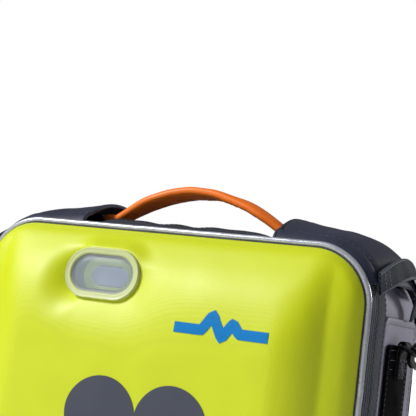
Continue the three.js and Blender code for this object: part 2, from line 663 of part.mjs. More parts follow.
function makeDevice() {
  const { front, rear } = DEVICE;
  makeCradle();
  makeHousings();
  const { x, z, halfX, halfZ } = SCREEN;
  const edge = GAP + 0.1;
  add('aed_screen_glass', roundedPlate(
    x - halfX + edge, x + halfX - edge, z - halfZ + edge, z + halfZ - edge, 5.8, front + 0.4, front + 2,
  ), screenGlass);
  add('aed_display', box(x - 46, x + 46, front + 3.6, front + 9, z - 30, z + 30), screenGlass);
  const colours = { power: buttonGreen, child: buttonBlue, shock: buttonRed };
  for (const [name, { x: bx, z: bz, radius }] of Object.entries(BUTTONS)) {
    add(`${name}_button`, buttonRod(bx, bz, radius, front - 1.5, front + 4), colours[name]);
  }
  const lamp = STATUS;
  add('status_indicator', roundedPlate(
    lamp.x0 + edge, lamp.x1 - edge, lamp.z0 + edge, lamp.z1 - edge, (lamp.z1 - lamp.z0) / 2 - 0.5,
    front - 0.5, front + 2.5,
  ), lavender);
  add('pads_cover', roundedPlate(-108, 108, 38, 118, 10, front - 5, front - 0.4), housingGrey);
  add('pads_connector', box(80, 104, front - 8.5, front - 0.4, 136, 158), housingGrey);
  add('battery_pack', box(-77, 77, rear - 21.4, rear - 0.6, 63, 141), rubberBlack);
  add('main_board', box(-102, 102, -34, -32.2, 44, 255), boardGreen);
  const up = (cx, cy, z0, z1, r) => rod(r, new THREE.Vector3(cx, cy, z0), new THREE.Vector3(cx, cy, z1), 20);
  add('discharge_capacitor', up(-50, 6, 160, 238, 21), packetSilver);
  add('speaker', rod(19, new THREE.Vector3(58, -4, 205), new THREE.Vector3(58, 16, 205), 20), rubberBlack);
  add('electrode_packet', roundedPlate(-90, 90, 50, 150, 8, -55, -46), packetSilver);
}

// ---- Assembly ----
makeTub();
makeSidePanels();
makeCovers();
makeHandle();
makeWebbing();
for (const [side, s] of SIDES) {
  makeLug(side, s);
  makeHook(side, s);
}
makeStrap();
for (const [place, z] of Object.entries(SLIDER_REST_Z)) {
  makeSlider(place, z);
}
makeLid();
makePulseMark();
makeHeartMark();
makeDevice();

export default model;
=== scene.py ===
"""Looks of the automated external defibrillator in its carry case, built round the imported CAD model."""

import math

import bmesh
import bpy
import numpy as np
from mathutils import Matrix, Vector


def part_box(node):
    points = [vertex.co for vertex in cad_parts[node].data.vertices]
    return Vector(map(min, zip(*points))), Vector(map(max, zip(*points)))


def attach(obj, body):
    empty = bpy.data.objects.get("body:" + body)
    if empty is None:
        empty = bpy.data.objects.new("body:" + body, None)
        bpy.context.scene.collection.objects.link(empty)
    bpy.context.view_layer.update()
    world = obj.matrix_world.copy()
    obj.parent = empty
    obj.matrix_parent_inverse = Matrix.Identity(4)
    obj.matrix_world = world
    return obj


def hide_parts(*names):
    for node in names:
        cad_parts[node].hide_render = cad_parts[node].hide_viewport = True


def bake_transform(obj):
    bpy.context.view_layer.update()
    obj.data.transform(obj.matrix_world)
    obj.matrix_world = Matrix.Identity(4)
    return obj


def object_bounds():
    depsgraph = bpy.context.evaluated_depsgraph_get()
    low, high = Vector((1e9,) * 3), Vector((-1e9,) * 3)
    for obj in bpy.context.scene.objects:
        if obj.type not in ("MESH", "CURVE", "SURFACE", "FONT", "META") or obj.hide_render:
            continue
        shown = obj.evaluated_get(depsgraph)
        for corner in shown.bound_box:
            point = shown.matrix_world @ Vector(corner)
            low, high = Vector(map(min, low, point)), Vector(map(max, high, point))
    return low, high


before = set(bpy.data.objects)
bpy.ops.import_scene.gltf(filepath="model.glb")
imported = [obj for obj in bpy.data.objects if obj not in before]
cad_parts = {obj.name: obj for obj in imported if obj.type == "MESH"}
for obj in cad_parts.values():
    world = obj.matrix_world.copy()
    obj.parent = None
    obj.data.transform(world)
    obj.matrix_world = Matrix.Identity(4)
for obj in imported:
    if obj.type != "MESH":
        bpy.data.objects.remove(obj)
CAD_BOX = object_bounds()
MM = 0.001


# ---- Driving dimensions, in millimetres, read from the CAD model ----
def mm_box(node):
    """A CAD node's lowest and highest corners in millimetres."""
    low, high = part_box(node)
    return np.array(low) / MM, np.array(high) / MM


PIPING_LOW, PIPING_HIGH = mm_box("lid_piping")
HALF_WIDTH = PIPING_HIGH[0]
BOTTOM, TOP = PIPING_LOW[2], PIPING_HIGH[2]
PIPING_Y = (PIPING_LOW[1] + PIPING_HIGH[1]) / 2
CORNER_R = 40.0
TUB_FRONT_Y = mm_box("tub_shell")[0][1]
TUB_REAR_Y = mm_box("tub_shell")[1][1]
ZIP_Y = mm_box("lid_zipper_tape")[1][1] + 0.3
TAPE_REAR_Y = mm_box("tub_zipper_tape")[1][1]
FACE = -mm_box("lid_shell")[0][1]
HANDLE_LOW, HANDLE_HIGH = mm_box("handle_strap")
HANDLE_Y = (HANDLE_LOW[1] + HANDLE_HIGH[1]) / 2
WINDOW_LOW, WINDOW_HIGH = mm_box("window_rim")
WINDOW = (WINDOW_LOW + WINDOW_HIGH) / 2
RIM_FLANGE = 3.2
WINDOW_HALF_X = (WINDOW_HIGH[0] - WINDOW_LOW[0]) / 2 - RIM_FLANGE
WINDOW_HALF_Z = (WINDOW_HIGH[2] - WINDOW_LOW[2]) / 2 - RIM_FLANGE
HOUSING_FRONT = mm_box("aed_front_housing")[0][1]
SIDES = (("right", 1), ("left", -1))


# ---- Camera, floor and light, in metres ----
CAMERA_PLACE = (0.30283, -0.70488, 0.23896)
CAMERA_ANGLES = (23.85, 6.31, 7.21)
CAMERA_LENS, CAMERA_SENSOR = 90.66, 36
AMBIENT = (0.04, 0.24)
FLOOR_EDGE = -0.062
FLOOR_REACH = 8.0
FLOOR_GAP = 0.0002


def add_camera():
    """The viewing position and angles solved from the case's size."""
    yaw, pitch, roll = (math.radians(a) for a in CAMERA_ANGLES)
    forward = Vector((-math.sin(yaw) * math.cos(pitch), math.cos(yaw) * math.cos(pitch), math.sin(pitch)))
    right = Vector((math.cos(yaw), math.sin(yaw), 0))
    up = right.cross(forward)
    turned_right = math.cos(roll) * right + math.sin(roll) * up
    turned_up = -math.sin(roll) * right + math.cos(roll) * up
    data = bpy.data.cameras.new("camera")
    data.lens = CAMERA_LENS
    data.sensor_width = CAMERA_SENSOR
    camera = bpy.data.objects.new("camera", data)
    rows = [(turned_right[i], turned_up[i], -forward[i], CAMERA_PLACE[i]) for i in range(3)]
    camera.matrix_world = Matrix([*rows, (0, 0, 0, 1)])
    bpy.context.scene.collection.objects.link(camera)
    bpy.context.scene.camera = camera


def add_stage():
    """A pale floor that ends under the hinge, where the open lid hangs past it, and an unseen bounce."""
    material = bpy.data.materials.new("floor")
    material.use_nodes = True
    shader = material.node_tree.nodes["Principled BSDF"]
    shader.inputs["Base Color"].default_value = (0.88, 0.88, 0.88, 1)
    shader.inputs["Roughness"].default_value = 0.9
    for name, near, far in (("floor", FLOOR_EDGE, FLOOR_REACH), ("floor_bounce", -FLOOR_REACH, FLOOR_EDGE)):
        mesh = bpy.data.meshes.new(name)
        corners = [(-1, near), (1, near), (1, far), (-1, far)]
        mesh.from_pydata([(x * FLOOR_REACH, y, 0) for x, y in corners], [], [(0, 1, 2, 3)])
        mesh.materials.append(material)
        floor = bpy.data.objects.new(name, mesh)
        floor.location.z = CAD_BOX[0][2] - FLOOR_GAP
        bpy.context.scene.collection.objects.link(floor)
        floor.is_shadow_catcher = name == "floor"
        floor.visible_camera = name == "floor"
        floor.visible_shadow = name == "floor"


def add_light(name, place, size, power):
    """A soft round light aimed at the middle of the case."""
    data = bpy.data.lights.new(name, "AREA")
    data.shape = "DISK"
    data.size = size
    data.energy = power
    light = bpy.data.objects.new(name, data)
    light.location = place
    light.rotation_euler = (Vector((0, 0, 0.2)) - Vector(place)).to_track_quat("-Z", "Y").to_euler()
    bpy.context.scene.collection.objects.link(light)


def feed(tree, target, source):
    """Sets a node's input from a number, a colour or another node's output."""
    if isinstance(source, bpy.types.NodeSocket):
        tree.links.new(source, target)
    else:
        target.default_value = source


def add_node(tree, kind, inputs, output=0, **attributes):
    made = tree.nodes.new("ShaderNode" + kind)
    for key, value in attributes.items():
        setattr(made, key, value)
    for key, value in inputs.items():
        feed(tree, made.inputs[key], value)
    return made.outputs[output]


def add_lights():
    """Key and rim lights, and a world that is white to the eye and a soft gradient to the object."""
    bpy.context.scene.view_settings.view_transform = "Standard"
    world = bpy.data.worlds.new("world")
    bpy.context.scene.world = world
    world.use_nodes = True
    tree = world.node_tree
    background = tree.nodes["Background"]
    background.inputs["Color"].default_value = (1, 1, 1, 1)
    height = add_node(tree, "SeparateXYZ", {0: add_node(tree, "TexCoord", {}, "Generated")}, "Z")
    sky = add_node(tree, "MapRange", {"Value": height, "To Min": AMBIENT[0], "To Max": AMBIENT[1]}, "Result")
    seen = add_node(tree, "LightPath", {}, "Is Camera Ray")
    level = add_node(tree, "MapRange", {"Value": seen, "To Min": sky, "To Max": 1.0}, "Result")
    feed(tree, background.inputs["Strength"], level)
    add_light("key", (-1.7, -1.8, 2.05), 1.2, 100)
    add_light("rim", (1.6, 1.7, 1.0), 0.8, 20)


# ---- Materials ----
MATERIALS = {}
# Pale grey mixed into the sharp convex edges of moulded parts: a painted highlight on the edges.
EDGE_HIGHLIGHT_GREY = (0.8, 0.8, 0.8, 1)


def srgb(code):
    """A linear colour from a hexadecimal display colour."""
    parts = [int(code[i:i + 2], 16) / 255 for i in (0, 2, 4)]
    return [p / 12.92 if p <= 0.04045 else ((p + 0.055) / 1.055) ** 2.4 for p in parts] + [1.0]


def brighter(code, gain, lift=0.0):
    return [min(1, c * gain + lift) for c in srgb(code)]


class Shader:
    """A material with its Principled shader and short ways to add nodes."""

    def __init__(self, name, **settings):
        material = bpy.data.materials.new(name)
        material.use_nodes = True
        MATERIALS[name] = material
        self.tree = material.node_tree
        self.sockets = self.tree.nodes["Principled BSDF"].inputs
        for key, value in settings.items():
            self.sockets[key.replace("_", " ")].default_value = value
        self.place = self.node("TexCoord", {}, "Object")

    def node(self, kind, inputs, output=0, **attributes):
        return add_node(self.tree, kind, inputs, output, **attributes)

    def set(self, name, source):
        feed(self.tree, self.sockets[name], source)

    def noise(self, scale, detail=3.0, rough=0.5, stretch=None):
        place = self.node("Mapping", {"Vector": self.place, "Scale": stretch}) if stretch else self.place
        inputs = {"Vector": place, "Scale": scale, "Detail": detail, "Roughness": rough}
        return self.node("TexNoise", inputs, "Fac")

    def cells(self, scale):
        return self.node("TexVoronoi", {"Vector": self.place, "Scale": scale}, "Distance")

    def wave(self, axis, period, distortion):
        """Bands across one axis that repeat every `period` millimetres."""
        inputs = {"Vector": self.place, "Scale": math.pi / (10 * period * MM), "Distortion": distortion}
        return self.node("TexWave", inputs, "Fac", bands_direction=axis, wave_profile="SIN")

    def math(self, operation, first, second):
        return self.node("Math", {0: first, 1: second}, operation=operation)

    def blend(self, first, share, second, other_share):
        """Two heights added in the given shares."""
        shares = ((first, share), (second, other_share))
        return self.math("ADD", *(self.math("MULTIPLY", height, part) for height, part in shares))

    def span(self, source, from_low, from_high, low=0, high=1):
        inputs = {"Value": source, "From Min": from_low, "From Max": from_high, "To Min": low, "To Max": high}
        return self.node("MapRange", inputs, "Result")

    def mix(self, factor, first, second):
        return self.node("Mix", {0: factor, 6: first, 7: second}, 2, data_type="RGBA")

    def colour(self, source, from_low, from_high, first, second):
        self.set("Base Color", self.mix(self.span(source, from_low, from_high), first, second))

    def roughness(self, source, low, high):
        self.set("Roughness", self.span(source, 0.3, 0.7, low, high))

    def bump(self, height, depth, strength):
        """Adds a bump of `depth` millimetres on top of any bump already there."""
        inputs = {"Height": height, "Distance": depth * MM, "Strength": strength}
        if self.sockets["Normal"].is_linked:
            inputs["Normal"] = self.sockets["Normal"].links[0].from_socket
        self.set("Normal", self.node("Bump", inputs, "Normal"))


def woven(name, colour, shade, period=0.8, depth=0.12, rough=(0.6, 0.8), patch=0.35, **settings):
    """Cloth: a weave along all three axes, blotchy colour and uneven roughness."""
    made = Shader(name, **settings)
    across = made.math("ADD", made.wave("X", period, 0.4), made.wave("Z", period, 0.4))
    weave = made.span(made.math("ADD", across, made.wave("Y", period, 0.4)), 0, 3)
    blotch = made.noise(28, 5, 0.6)
    made.colour(made.blend(weave, 0.5, blotch, patch * 2), 0.25, 0.85, srgb(shade), srgb(colour))
    made.roughness(blotch, *rough)
    made.bump(made.noise(60), 0.25, 0.5)
    made.bump(weave, depth, 0.8)


def coated(name, colour, shade, grain=900, depth=0.07, rough=(0.38, 0.55), crease=0.35, **settings):
    """Coated cloth or vinyl: fine pebble grain, soft creases and rubbed patches."""
    made = Shader(name, **settings)
    grains = made.cells(grain)
    made.colour(made.blend(made.noise(22, 5, 0.6), 0.8, grains, 0.2), 0.3, 0.7, srgb(shade), srgb(colour))
    made.roughness(made.noise(90), *rough)
    made.bump(made.noise(55, 4, 0.55), crease, 0.6)
    made.bump(grains, depth, 0.7)


def moulded(name, colour, shade, rough=(0.35, 0.5), grain=1500, depth=0.03, **settings):
    """Moulded plastic: spark-eroded texture, faint flow marks and a painted highlight that lightens every
    sharp convex edge.
    """
    made = Shader(name, **settings)
    # Sharp convex edges are lightened towards a pale grey: a painted edge highlight.
    edge = made.span(made.node("NewGeometry", {}, "Pointiness"), 0.5, 0.56)
    body = made.mix(made.span(made.noise(14, 4), 0.35, 0.65), srgb(shade), srgb(colour))
    made.set("Base Color", made.mix(made.math("MULTIPLY", edge, 0.25), body, EDGE_HIGHLIGHT_GREY))
    made.roughness(made.noise(120), *rough)
    made.bump(made.noise(grain, 2), depth, 0.6)


def metal(name, colour, rough=(0.2, 0.34), metallic=1.0, brushed=(30, 30, 900), **settings):
    """Plated or painted metal with brushing and worn spots."""
    made = Shader(name, Metallic=metallic, **settings)
    lines = made.noise(1, 3, 0.6, stretch=brushed)
    made.colour(made.noise(160), 0.3, 0.7, srgb(colour), brighter(colour, 1.35, 0.004))
    made.roughness(lines, *rough)
    made.bump(lines, 0.01, 0.4)


def ribbed(name, colour, shade, period=1.6, depth=0.35, **settings):
    """Ribbed tape: ribs along the case's outline, with a finer weave across them."""
    made = Shader(name, **settings)
    ribs = made.wave("Y", period, 0.3)
    cross = made.math("MULTIPLY", made.wave("X", 0.9, 0.5), made.wave("Z", 0.9, 0.5))
    height = made.blend(ribs, 0.7, cross, 0.5)
    made.colour(height, 0.1, 1.0, srgb(shade), srgb(colour))
    made.roughness(made.noise(80), 0.6, 0.75)
    made.bump(height, depth, 0.8)


def clear(name, colour, rough, transmission, **settings):
    """Clear or frosted plastic with a faint moulded ripple."""
    made = Shader(name, IOR=1.46, Transmission_Weight=transmission, **settings)
    made.colour(made.noise(40), 0.4, 0.6, srgb(colour), brighter(colour, 1.04))
    made.roughness(made.noise(70), rough * 0.8, rough * 1.2)
    made.bump(made.noise(60, 2), 0.05, 0.4)


def gloss(level):
    return {"Specular_IOR_Level": level}


def glow(code, strength):
    return {"Emission_Strength": strength, "Emission_Color": srgb(code)}


def make_fabrics():
    satin = {"rough": (0.42, 0.5), "patch": 0.15}
    printed = {"period": 0.55, "depth": 0.04, "rough": (0.42, 0.52), "patch": 0.15}
    matt = {"rough": (0.8, 0.95)}
    thread = {"period": 0.3, "depth": 0.04}
    coated("navy_fabric", "34374d", "232536", rough=(0.46, 0.58), depth=0.04, crease=0.22, **gloss(0.4))
    woven("navy_lining", "20222c", "14151c", period=1.0, **matt)
    woven("lime_shell", "d2de02", "c7d300", period=0.55, depth=0.05, **satin, **gloss(0.6))
    woven("lid_lining", "3c414a", "2a2e36", period=1.2, **matt)
    coated("silver_piping", "c6c8d2", "aeb0bd", 2200, 0.03, (0.24, 0.32), crease=0.05, Metallic=0.45)
    woven("seam_thread", "3a3f48", "2a2e36", period=0.4, depth=0.05)
    woven("thread_navy", "484c60", "3a3e50", **thread)
    woven("thread_grey", "8d909c", "6b6e78", **thread)
    woven("thread_orange", "f0954d", "c96a28", **thread)
    coated("side_grey", "9b98ab", "8f8ca0", grain=1100, rough=(0.5, 0.65), crease=0.3)
    woven("black_fabric", "0b0b0f", "060608", period=0.9, **matt, **gloss(0.05))
    ribbed("zipper_tape", "2e3646", "171b26", Sheen_Weight=0.2, Sheen_Roughness=0.4, **gloss(0.2))
    coated("zipper_coil", "2c343d", "1e242b", 2400, depth=0.01, rough=(0.5, 0.6), crease=0.01, **gloss(0.25))
    ribbed("webbing_grey", "303847", "1a1f29", period=1.3, depth=0.3, **gloss(0.2))
    woven("selvedge", "3e4755", "2e3641", period=0.6)
    ribbed("black_webbing", "1b1b21", "0e0e12", period=1.3, depth=0.3, **gloss(0.3))
    coated("orange_handle", "ff8420", "ea6c10", grain=1300, depth=0.05, rough=(0.4, 0.52), **gloss(0.4))
    woven("mark_blue", "0080ca", "0074b8", **printed, **gloss(0.2))
    woven("mark_grey", "464a59", "3c404e", **printed)


def make_plastics_and_metals():
    fine = {"rough": (0.3, 0.42)}
    key = {"rough": (0.25, 0.35)}
    moulded("gasket_grey", "5c6860", "4c5750", rough=(0.5, 0.6))
    clear("window_rim", "d3dc9c", 0.45, 0.2)
    clear("window_lens", "b4c2ca", 0.22, 0.0, Alpha=0.3, **gloss(0.25))
    metal("black_metal", "0c0c10", (0.12, 0.24), 0.2, Coat_Weight=0.6, Coat_Roughness=0.1)
    metal("zinc", "9ea0a6")
    moulded("base_rubber", "232326", "18181b", rough=(0.65, 0.85), grain=600, depth=0.15)
    moulded("cradle_foam", "34343a", "222226", rough=(0.9, 1.0), grain=900, depth=0.5)
    moulded("housing_grey", "454b55", "3a4049")
    moulded("housing_lime", "c9d82c", "bccb22", **fine)
    # The bezel is a lighter copy of housing_lime with a faint glow: painted light standing in for the light
    # that barely reaches into the window's recess.
    moulded("bezel_lime", "d6e25a", "ccd84e", **fine, **glow("b8cc50", 0.3))
    clear("screen_glass", "5a6a74", 0.04, 0.85)
    moulded("display_module", "23272e", "191c22", rough=(0.3, 0.45))
    moulded("display_trace", "58e07a", "40c864", rough=(0.3, 0.4))
    moulded("button_green", "2fa044", "258a39", **key)
    moulded("button_blue", "2d74c4", "2464ad", **key)
    moulded("button_orange", "ea5a1a", "d44c10", **key)
    moulded("icon_white", "eef0f2", "dfe2e6", rough=(0.35, 0.45))
    moulded("status_lavender", "b6b6da", "a2a4cc", **fine, **glow("a8aed6", 0.35))
    moulded("circuit_board", "1f6e3c", "185a30", rough=(0.4, 0.55))
    metal("foil_packet", "b9bdc2", rough=(0.25, 0.5), brushed=(60, 60, 60))


make_fabrics()
make_plastics_and_metals()


# ---- Mesh helpers ----
def add_mesh(name, points, faces, materials, slots=None, sharp=40):
    """A mesh from points in millimetres, with normals outwards and creases kept above `sharp` degrees."""
    mesh = bpy.data.meshes.new(name)
    mesh.from_pydata((np.asarray(points) * MM).tolist(), [], [list(map(int, f)) for f in faces])
    for material in materials:
        mesh.materials.append(MATERIALS[material])
    if slots is not None:
        mesh.polygons.foreach_set("material_index", list(map(int, slots)))
    made = bmesh.new()
    made.from_mesh(mesh)
    bmesh.ops.recalc_face_normals(made, faces=made.faces)
    made.to_mesh(mesh)
    made.free()
    mesh.polygons.foreach_set("use_smooth", [True] * len(mesh.polygons))
    mesh.set_sharp_from_angle(angle=math.radians(sharp))
    mesh.update()
    piece = bpy.data.objects.new(name, mesh)
    bpy.context.scene.collection.objects.link(piece)
    return piece


def cut_hole(piece, cutter_shape, material, sharp):
    """Cuts a closed form out of a piece's mesh. The hole's wall takes the material."""
    cutter = add_mesh("cutter", *cutter_shape, [material])
    hole = piece.modifiers.new("hole", "BOOLEAN")
    hole.operation = "DIFFERENCE"
    hole.object = cutter
    hole.solver = "EXACT"
    graph = bpy.context.evaluated_depsgraph_get()
    graph.update()
    mesh = bpy.data.meshes.new_from_object(piece.evaluated_get(graph))
    piece.modifiers.clear()
    piece.data = mesh
    bpy.data.objects.remove(cutter)
    mesh.set_sharp_from_angle(angle=math.radians(sharp))


def add_piece(name, shape, body, materials, *nodes, slot=None, sharp=40, hole=None):
    """A piece that rides on a body. `shape` is points, faces and, for two materials, each face's slot."""
    materials = (materials,) if isinstance(materials, str) else materials
    points, faces, *slots = shape
    piece = add_mesh(name, points, faces, materials, *slots, sharp=sharp)
    if hole:
        cut_hole(piece, *hole, sharp)
    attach(piece, body)
    if nodes:
        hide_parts(*nodes)
    return piece


def loft(rings, closed_path=False):
    """Points and faces of a skin over rings of equal length, capped unless its path closes."""
    rings = np.asarray(rings, float)
    count, size = rings.shape[:2]
    faces = []
    for r in range(count if closed_path else count - 1):
        a, b = r * size, ((r + 1) % count) * size
        faces += [(a + i, a + (i + 1) % size, b + (i + 1) % size, b + i) for i in range(size)]
    if not closed_path:
        faces.append(tuple(range(size))[::-1])
        faces.append(tuple((count - 1) * size + i for i in range(size)))
    return rings.reshape(-1, 3), faces


def merge(parts):
    """One set of points and faces from several."""
    points, faces, start = [], [], 0
    for part_points, part_faces in parts:
        points.append(np.asarray(part_points, float))
        faces += [tuple(i + start for i in f) for f in part_faces]
        start += len(part_points)
    return np.concatenate(points), faces


def unit(v):
    v = np.asarray(v, float)
    return v / np.maximum(np.linalg.norm(v, axis=-1, keepdims=True), 1e-9)


def mirrored(place, s):
    """A place or a way on the right side, or its mirror image on the left."""
    return np.array([s * place[0], place[1], place[2]], float)


def smoothstep(x, low, high):
    t = np.clip((np.asarray(x, float) - low) / (high - low), 0, 1)
    return t * t * (3 - 2 * t)


def hump(x, centre, width):
    """A bell curve of height 1."""
    return np.exp(-((x - centre) / width) ** 2)


def smooth_min(a, b, width):
    """The lower of two heights, with a rounded meeting."""
    near = np.maximum(width - np.abs(a - b), 0) / width
    return np.minimum(a, b) - near * near * width / 4


def ripple(x, y, seed, scale):
    """A smooth, repeatable unevenness from -1 to 1."""
    x, y = np.asarray(x, float) / scale, np.asarray(y, float) / scale
    total = np.sin(1.7 * x + 2.3 * y + seed) + np.sin(2.9 * x - 1.3 * y + 2.1 * seed)
    return (total + np.sin(-1.1 * x + 3.7 * y + 3.3 * seed) + np.sin(4.3 * x + 0.7 * y + 5 * seed)) / 4


def circle_arc(x, z, radius, from_degrees, to_degrees, count):
    turn = np.radians(np.linspace(from_degrees, to_degrees, count))
    return np.stack([x + radius * np.cos(turn), z + radius * np.sin(turn)], 1)


def outline(off, corner, straight):
    """The case's outline in XZ, moved outwards by `off`: from the bottom left, up, over and down, closed."""
    radius = max(3.0, CORNER_R + off)
    half = HALF_WIDTH + off - radius
    low = BOTTOM - off + radius
    high = TOP + off - radius
    corners = ((-half, low, 270), (-half, high, 180), (half, high, 90), (half, low, 0))
    arcs = [circle_arc(x, z, radius, start, start - 90, corner + 1) for x, z, start in corners]
    share = (np.arange(1, straight) / straight)[:, None]
    points = []
    for arc, following in zip(arcs, arcs[1:] + arcs[:1]):
        points += [arc, arc[-1] + (following[0] - arc[-1]) * share]
    return np.concatenate(points)


def outline_ways(off, **counts):
    """The outline and its outward way at each point."""
    flat = outline(off, **counts)
    return flat, unit(outline(off + 1, **counts) - flat)


def at_y(flat, y):
    """XZ points stood up at one Y or at a Y for each."""
    return np.stack([flat[:, 0], np.broadcast_to(y, len(flat)), flat[:, 1]], 1)


def round_section(radius, sides):
    turn = 2 * np.pi * np.arange(sides) / sides
    return np.stack([np.cos(turn), np.sin(turn)], 1) * radius


def cord_loop(off, y, radius, sides, straight, corner=20):
    """A round cord that follows the outline."""
    paths = [at_y(outline(off + a, corner, straight), y + b) for a, b in round_section(radius, sides)]
    return loft(np.stack(paths, 1), closed_path=True)


def distances(path):
    """The distance travelled at each point of a path."""
    return np.concatenate([[0], np.cumsum(np.linalg.norm(np.diff(path, axis=0), axis=1))])


def sampled(values, travelled, wanted):
    """Values known at travelled distances, read at the wanted ones."""
    return np.stack([np.interp(wanted, travelled, values[:, k]) for k in range(values.shape[1])], 1)


def evenly(path, count):
    """The same path with `count` evenly spaced points."""
    path = np.asarray(path, float)
    travelled = distances(path)
    return sampled(path, travelled, np.linspace(0, travelled[-1], count))


def curve_through(points, count):
    """Evenly spaced points on a centripetal Catmull-Rom curve."""
    points = np.asarray(points, float)
    full = np.concatenate([[2 * points[0] - points[1]], points, [2 * points[-1] - points[-2]]])
    dense = []
    for i in range(1, len(full) - 2):
        p0, p1, p2, p3 = full[i - 1:i + 3]
        t0, t1, t2 = (max(1e-4, np.linalg.norm(b - a) ** 0.5) for a, b in ((p0, p1), (p1, p2), (p2, p3)))
        m1 = ((p1 - p0) / t0 - (p2 - p0) / (t0 + t1) + (p2 - p1) / t1) * t1
        m2 = ((p2 - p1) / t1 - (p3 - p1) / (t1 + t2) + (p3 - p2) / t2) * t1
        t = np.linspace(0, 1, 40, endpoint=False)[:, None]
        dense.append((2 * t ** 3 - 3 * t ** 2 + 1) * p1 + (t ** 3 - 2 * t ** 2 + t) * m1
                     + (-2 * t ** 3 + 3 * t ** 2) * p2 + (t ** 3 - t ** 2) * m2)
    return evenly(np.concatenate([*dense, full[-2:-1]]), count)


def tangents(path, closed=False):
    if closed:
        return unit(np.roll(path, -1, 0) - np.roll(path, 1, 0))
    return unit(np.gradient(path, axis=0))


def square_to(ways, along):
    """Ways turned square to the path's own way at each point."""
    ways = np.broadcast_to(np.asarray(ways, float), along.shape)
    return unit(ways - (ways * along).sum(1, keepdims=True) * along)


def swept(path, section, side_way, closed=False):
    """Rings of a section swept along a path. `side_way` is the way of the section's first axis."""
    along = tangents(path, closed)
    side = square_to(side_way, along)
    up = np.cross(along, side)
    section = np.broadcast_to(np.asarray(section, float), (len(path), *np.shape(section)[-2:]))
    return path[:, None] + section[:, :, :1] * side[:, None] + section[:, :, 1:] * up[:, None]


def pill_section(width, thick, ends=5, flat=6):
    """A flat strap's section: rounded narrow edges and points along its wide faces."""
    r = thick / 2
    half = width / 2 - r
    cap = circle_arc(half, 0, r, -90, 90, ends)
    top = np.stack([np.linspace(half, -half, flat + 1)[1:-1], np.full(flat - 1, r)], 1)
    return np.concatenate([cap, top, -cap, -top])


def tapered(path, section, way, taper):
    """A swept section that shrinks at both ends, so that its ends look cut and rounded."""
    rings = swept(path, section, way)
    size = np.ones(len(path))
    size[0] = size[-1] = taper
    return loft(path[:, None] + (rings - path[:, None]) * size[:, None, None])


def beads(centres, ways, ups, size, sides=6):
    """Many small rounded bars, such as stitches or zipper teeth: `size` is length, width and height."""
    centres = np.asarray(centres, float)
    ways = unit(np.broadcast_to(ways, centres.shape))
    ups = square_to(ups, ways)
    across = np.cross(ways, ups)
    length, width, height = size
    section = round_section(0.5, sides) * (width, height)
    rings = []
    for along, scale in ((-0.5, 0.45), (-0.36, 1), (0.36, 1), (0.5, 0.45)):
        middle = centres + ways * along * length
        reach = section[:, :1] * across[:, None] + section[:, 1:] * ups[:, None]
        rings.append(middle[:, None] + scale * reach)
    return merge(loft(one) for one in np.stack(rings, 1))


def stitch_row(path, up, length, gap, thick, closed=False):
    """Stitches along a path lying on a surface whose outward way is `up` at each path point."""
    path = np.asarray(path, float)
    up = np.broadcast_to(np.asarray(up, float), path.shape)
    if closed:
        path, up = np.concatenate([path, path[:1]]), np.concatenate([up, up[:1]])
    travelled = distances(path)
    count = max(2, int(travelled[-1] / (length + gap)))
    wanted = (np.arange(count) + 0.5) * travelled[-1] / count
    ups = unit(sampled(up, travelled, wanted))
    ways = sampled(path, travelled, wanted + 0.3) - sampled(path, travelled, wanted - 0.3)
    return beads(sampled(path, travelled, wanted) + ups * 0.1, unit(ways), ups, (length, thick, thick))


def inset(x0, x1, z0, z1, radius, by=0.0, steps=8):
    """A rounded rectangle's outline in its own plane, drawn in by `by`."""
    radius = max(0.4, radius - by)
    x0, x1, z0, z1 = x0 + by + radius, x1 - by - radius, z0 + by + radius, z1 - by - radius
    corners = ((x1, z1, 0), (x0, z1, 90), (x0, z0, 180), (x1, z0, 270))
    return np.concatenate([circle_arc(x, z, radius, start, start + 90, steps + 1) for x, z, start in corners])


def raised(flat, height):
    """Plane points with a height."""
    return np.column_stack([flat, np.full(len(flat), height)])


def facing_front(points, y):
    """Plane points (x, z, height) with height growing towards -Y from the plane y."""
    return np.stack([points[:, 0], y - points[:, 2], points[:, 1]], 1)


def facing_back(points, y):
    return np.stack([points[:, 0], y + points[:, 2], points[:, 1]], 1)


def facing_side(points, x, s):
    """Plane points (y, z, height) with height growing outwards from the plane x on side `s`."""
    return np.stack([s * (x + points[:, 2]), points[:, 0], points[:, 1]], 1)


def domed_plate(bounds, radius, rows, facing, *at, steps=8):
    """A padded plate: `rows` holds [inset, height] from its back edge over its face to the middle."""
    points, faces = loft([raised(inset(*bounds, radius, by, steps), height) for by, height in rows])
    return facing(points, *at), faces


def border_stitches(bounds, radius, by, height, up, sizes, facing, *at, steps=8):
    """A closed row of stitches inside a plate's edge."""
    line = facing(raised(inset(*bounds, radius, by, steps), height), *at)
    return stitch_row(line, up, *sizes, 0.5, closed=True)


def front_bounds(box):
    return box[0][0], box[1][0], box[0][2], box[1][2]


def side_bounds(box):
    return box[0][1], box[1][1], box[0][2], box[1][2]


# ---- Lid skin: how far its surface stands in front of Y 0, over the case's face ----
def height_table(knots, soften):
    """A smoothed height over distance from the edge, ready for interpolation."""
    distance = np.arange(0, 320, 0.5)
    knots = np.array(knots)
    reach = int(6 * soften)
    kernel = np.exp(-0.5 * (np.arange(-reach, reach + 1) * 0.5 / soften) ** 2)
    padded = np.pad(np.interp(distance, knots[:, 0], knots[:, 1]), reach, mode="edge")
    return distance, np.convolve(padded, kernel / kernel.sum(), "valid")


def easing(share, power=2.0):
    """A slope that is steep at its foot and level at its end, from 0 to 1."""
    return 1 - (1 - np.clip(share, 0, 1)) ** power


def eased_knots(start, low, reach):
    """A height for each millimetre from the foot of a slope to the lid's face."""
    return [(start + d, low + (FACE - low) * easing(d / reach)) for d in range(int(reach) + 1)]


